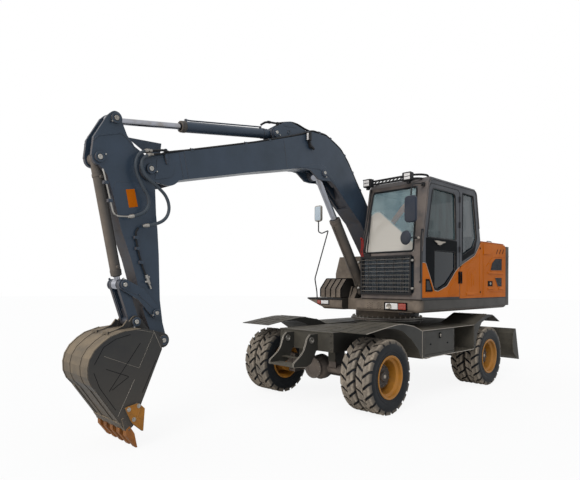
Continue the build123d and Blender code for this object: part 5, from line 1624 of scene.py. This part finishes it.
def add_fenders():
    for side, label in SIDES:
        lips = [fender_rolls([(y, z - 3) for y, z in run], [side * 1117], r)
                for run, r in ((FRONT_TOP, 5), (REAR_TOP, 6))]
        # The left front lip is painted pale as a highlight on the lit side; the right one keeps the
        # chassis paint.
        fit(label + "_front_fender_lip", lips[0], pale_trim_and_edge_highlight if side > 0 else chassis_paint,
            "chassis")
        fit(label + "_rear_fender_lip", lips[1], chassis_paint, "chassis")
        fit(label + "_front_fender_ribs",
            fender_rolls(FRONT_TOP[:-1], [side * 960, side * 820, side * 690], 5),
            chassis_paint, "chassis")
        fit(label + "_front_fender_beads",
            fender_beads(side, ((-2026, 1076), (-1640, 1126), (-1180, 1155), (-912, 1112))),
            chassis_paint, "chassis")
        fit(label + "_rear_fender_beads",
            [*fender_beads(side, ((1393, 1188), (1640, 1168), (1898, 1056))),
             *fender_rolls(REAR_TOP[1:], [side * 700], 6)], chassis_paint, "chassis")
        bolts = [at(side * x, y, z) for x in (640, 1040) for y, z in ((1470, 1184), (1560, 1177))]
        finish(bolt_heads(label + "_fender_bolts", bolts, (0, 0.1, 1), 9, 8), bare_steel, "chassis")


def add_side_boxes():
    for side, label in SIDES:
        face, body = side * BOX_FACE, label + "_toolbox_door"

        def out(distance):
            return face + side * distance

        fit(label + "_box_latch", [block("latch", out(-2), out(6), -232, -168, 904, 986, 5, 3),
                                   block("cup", out(4), out(8), -222, -178, 916, 974, 3)],
            black_paint_and_hole_shade, body)
        fit(label + "_box_latch_key",
            [turned("key", [(0, 0), (0, 15), (6, 15), (9, 10), (9, 0)], at(out(7), -200, 952),
                    (side, 0, 0), 24),
             block("tongue", out(7), out(14), -208, -192, 922, 940, 3)], pale_trim_and_edge_highlight, body)
        # The slots are dark plates: painted shade in the openings.
        fit(label + "_box_slots",
            [side_plate("hole", [(y - 24, z - 11), (y - 24, z + 11), (y + 24, z + 11),
                                 (y + 24, z - 11)], out(-3), out(1.2), 0.4, bend=10)
             for y, z in ((-469, 834), (34, 822))], black_paint_and_hole_shade, body)
        # The left box's rolled edges are painted pale as a highlight on the lit side; the right
        # ones keep the chassis paint.
        fit(label + "_box_rolled_edges",
            [side_line("edge", run, face, r, 0) for r, run in (
                (5, [(-705, 652), (917, 652)]), (4, [(-705, 1036), (917, 1036)]),
                (4, [(-698, 655), (-698, 1036)]))],
            pale_trim_and_edge_highlight if side > 0 else chassis_paint, "chassis")
        fit(label + "_step_rungs",
            [rod("rung", at(side * 640, y, 668), at(side * 1100, y, 668), 6, 1, 8)
             for y in range(300, 781, 120)], chassis_paint, "chassis")


def add_front_step():
    edges, rings = [], []
    for side in (1, -1):
        for x, out in ((208, -1), (226, 1)):
            edges.append(pipe("edge", side_points(side * x, STEP_EDGE), 3.5, 14, 1))
            rings.append(turned("ring", [(-2, 26), (6, 26), (9, 32), (9, 44), (-2, 46)],
                                at(side * x, -1985, 915), (side * out, 0, 0), 28))
    fit("front_step_light_edges", edges, pale_trim_and_edge_highlight, "chassis")
    fit("tow_eye_rings", rings, bare_steel, "chassis")
    tread = [rod("bar", at(-205, y, 604), at(205, y, 604), 6, 1, 10)
             for y in range(-2330, -2169, 40)]
    lip = block("lip", -206, 206, -2350, -2336, 584, 610, 3)
    fit("front_step_tread", [*tread, lip], chassis_paint, "chassis")
    bolts = [at(x, -1851, z) for x in (-440, 440) for z in (800, 900, 990)]
    finish(bolt_heads("frame_front_bolts", bolts, (0, -1, 0), 11), chassis_paint, "chassis")
    fit("frame_deck_seams", [block("plank", -400, 400, y, y + 12, 1028, 1036, 3)
                             for y in (-1700, -1500, -1300, -1100)], chassis_paint, "chassis")


def add_axle_details():
    """The bolted flange and the spring seat's bolts on each axle."""
    for out, name in ((-1, "front"), (1, "rear")):
        y = out * AXLE_Y
        flange = turned("flange", [(-40, 120), (-40, 150), (-18, 150), (-14, 146), (-14, 90),
                                   (-40, 90)], at(0, y + out * 210, TYRE_R), (0, out, 0), 40)
        rib = turned("rib", [(-8, 172), (-8, 182), (8, 182), (8, 172)], at(0, y, TYRE_R), ALONG_X)
        fit(name + "_axle_flange", [flange, rib], cast_metal, "chassis")
        ring = []
        for i in range(12):
            angle = math.radians(i * 30 + 15)
            ring.append(at(math.sin(angle) * 136, y + out * 194, TYRE_R + math.cos(angle) * 136))
        finish(bolt_heads(name + "_axle_flange_bolts", ring, (0, out, 0), 8, 8), bare_steel,
               "chassis")
        seat = [at(side * x, y, TYRE_R + 66) for side in (1, -1) for x in (240, 300)]
        finish(bolt_heads(name + "_axle_seat_bolts", seat, (0, 0, 1), 11, 12), cast_metal,
               "chassis")


def add_blade():
    rib = [(2598, 470), (2574, 600), (2576, 780), (2614, 852), (2640, 860), (2606, 780),
           (2604, 600), (2628, 470)]
    edge = [(2728, 372), (2738, 380), (2866, 318), (2862, 303), (2850, 303)]
    fit("blade_ribs_and_edge", [*[side_plate("rib", rib, x - 8, x + 8, 3)
                                  for x in (-820, -600, 600, 820)],
                                side_plate("edge", edge, -1098, 1098, 3),
                                pipe("top", [at(-1096, 2692, 870), at(1096, 2692, 870)], 9, 0, 3)],
        chassis_paint, "dozer_blade")
    bolts = [at(x, 2796, 346) for x in range(-1000, 1001, 250)]
    finish(bolt_heads("blade_edge_bolts", bolts, (0, -0.5, -0.87), 10, 7), bare_steel,
           "dozer_blade")


add_platform_front()
add_slew_bolts()
add_fenders()
add_side_boxes()
add_front_step()
add_axle_details()
add_blade()


# ---- seat --------------------------------------------------------------------------------------
SEAT_X = 545


def swollen(name, piece, cap):
    """A stuffed pad: the block blown up a little as cloth, with its swelling capped."""
    use(piece)
    remesh = piece.modifiers.new("voxels", "REMESH")
    remesh.mode, remesh.voxel_size = "VOXEL", 0.006
    bpy.ops.object.modifier_apply(modifier="voxels")
    start = [v.co.copy() for v in piece.data.vertices]
    cloth = piece.modifiers.new("stuffing", "CLOTH")
    cloth.settings.use_pressure = True
    cloth.settings.uniform_pressure_force = 4
    cloth.settings.effector_weights.gravity = 0
    cloth.point_cache.frame_start, cloth.point_cache.frame_end = 1, 20
    for moment in range(1, 21):
        bpy.context.scene.frame_set(moment)
    bpy.ops.object.modifier_apply(modifier="stuffing")
    bpy.context.scene.frame_set(1)
    for v, was in zip(piece.data.vertices, start):
        moved = v.co - was
        if moved.length > cap / 1000:
            v.co = was + moved.normalized() * cap / 1000
    subdivide = piece.modifiers.new("smooth", "SUBSURF")
    subdivide.levels = subdivide.render_levels = 1
    bpy.ops.object.modifier_apply(modifier="smooth")
    piece.name = name
    smooth(piece, 60)
    finish(piece, seat_cloth)
    return piece


def add_seat():
    x = SEAT_X
    cushion = block("cushion", x - 218, x + 218, -40, 400, 1812, 1890, 26, 3)
    open_up(cushion)
    pick(cushion, "verts", lambda v: v.co.z > at(0, 0, 1860).z and v.co.y < at(0, 60, 0).y)
    bpy.ops.transform.translate(value=way(0, 0, 8))
    shut()
    cushion = swollen("seat_cushion", cushion, 22)
    for side, label in SIDES:
        middle = x + side * 214
        wing = block("wing", middle - 22, middle + 22, -20, 390, 1820, 1906, 16, 3)
        swollen(f"seat_{label}_bolster", wing, 10)
    back = side_plate("back", [(396, 1930), (486, 2520), (540, 2520), (452, 1924)],
                      x - 206, x + 206, 22, segments=3)
    swollen("seat_back", back, 22)
    head = block("head", x - 104, x + 104, 498, 556, 2572, 2724, 18, 3)
    swollen("seat_head_rest", head, 12)
    fit("seat_head_posts", [rod("post", at(x + s, 528, 2500), at(x + s, 528, 2600), 7, 1, 12)
                            for s in (-50, 50)], chrome)
    shell = [side_plate("shell", [(460, 1880), (556, 2540), (572, 2540), (480, 1876)],
                        x - 196, x + 196, 6),
             block("pan", x - 226, x + 226, -50, 424, 1786, 1812, 8, 3),
             *[block("rail", x + s, x + s + 40, -20, 400, 1500, 1524, 4) for s in (-190, 150)]]
    for i in range(7):
        inset = 6 if i % 2 else 0
        z = 1530 + i * 36
        shell.append(block("fold", x - 176 + inset, x + 176 - inset, 10 + inset, 390 - inset,
                           z, z + 34, 12, 3))
    fit("seat_suspension_and_shell", shell, black_plastic)
    seam = ((-30, 1908), (120, 1912), (380, 1908))
    fit("seat_cushion_seams", [pipe("seam", side_points(x + s, seam), 2.5, 30, 1)
                               for s in (-104, 0, 104)], seal_rubber, "upper_body")
    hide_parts("seat")


add_seat()


# ---- light and floor ---------------------------------------------------------------------------
def set_stage():
    scene = bpy.context.scene
    world = bpy.data.worlds.new("pale_studio")
    scene.world = world
    world.use_nodes = True
    tree = world.node_tree
    tree.nodes.clear()
    path = node(tree, "LightPath")
    seen = maths(tree, "MAXIMUM", path.outputs["Is Camera Ray"],
                 path.outputs["Is Transmission Ray"])
    seen = maths(tree, "MAXIMUM", seen, path.outputs["Is Glossy Ray"])
    room = node(tree, "Background", {"Color": (0.86, 0.92, 1.0, 1), "Strength": 0.66})
    white = node(tree, "Background", {"Color": (1, 1, 1, 1), "Strength": 1.0})
    both = node(tree, "MixShader", {0: seen, 1: room.outputs[0], 2: white.outputs[0]})
    tree.links.new(both.outputs[0], node(tree, "OutputWorld").inputs["Surface"])

    clear()
    bpy.ops.mesh.primitive_circle_add(vertices=64, radius=60, fill_type="NGON", location=(0, 0, 0))
    floor = named("studio_floor")
    material, tree, shader = new_material("pale_floor")
    fill(shader, {"Base Color": (0.82, 0.8, 0.77, 1), "Roughness": 0.9})
    path = node(tree, "LightPath")
    seen = maths(tree, "MULTIPLY", path.outputs["Is Camera Ray"], 0.9)
    white = node(tree, "Emission", {"Color": (1, 1, 1, 1), "Strength": 1.0})
    both = node(tree, "MixShader", {0: seen, 1: shader.outputs[0], 2: white.outputs[0]})
    tree.links.new(both.outputs[0], tree.nodes["Material Output"].inputs["Surface"])
    floor.data.materials.append(material)

    for name, power, spread, turn in (("soft_sun", 1.5, 30, (48, 0, 24)),
                                      ("fill", 0.5, 60, (60, 0, -40))):
        lamp = bpy.data.objects.new(name, bpy.data.lights.new(name, "SUN"))
        scene.collection.objects.link(lamp)
        lamp.data.energy, lamp.data.angle = power, math.radians(spread)
        lamp.rotation_euler = tuple(math.radians(a) for a in turn)
    scene.view_settings.view_transform = "Standard"


set_stage()
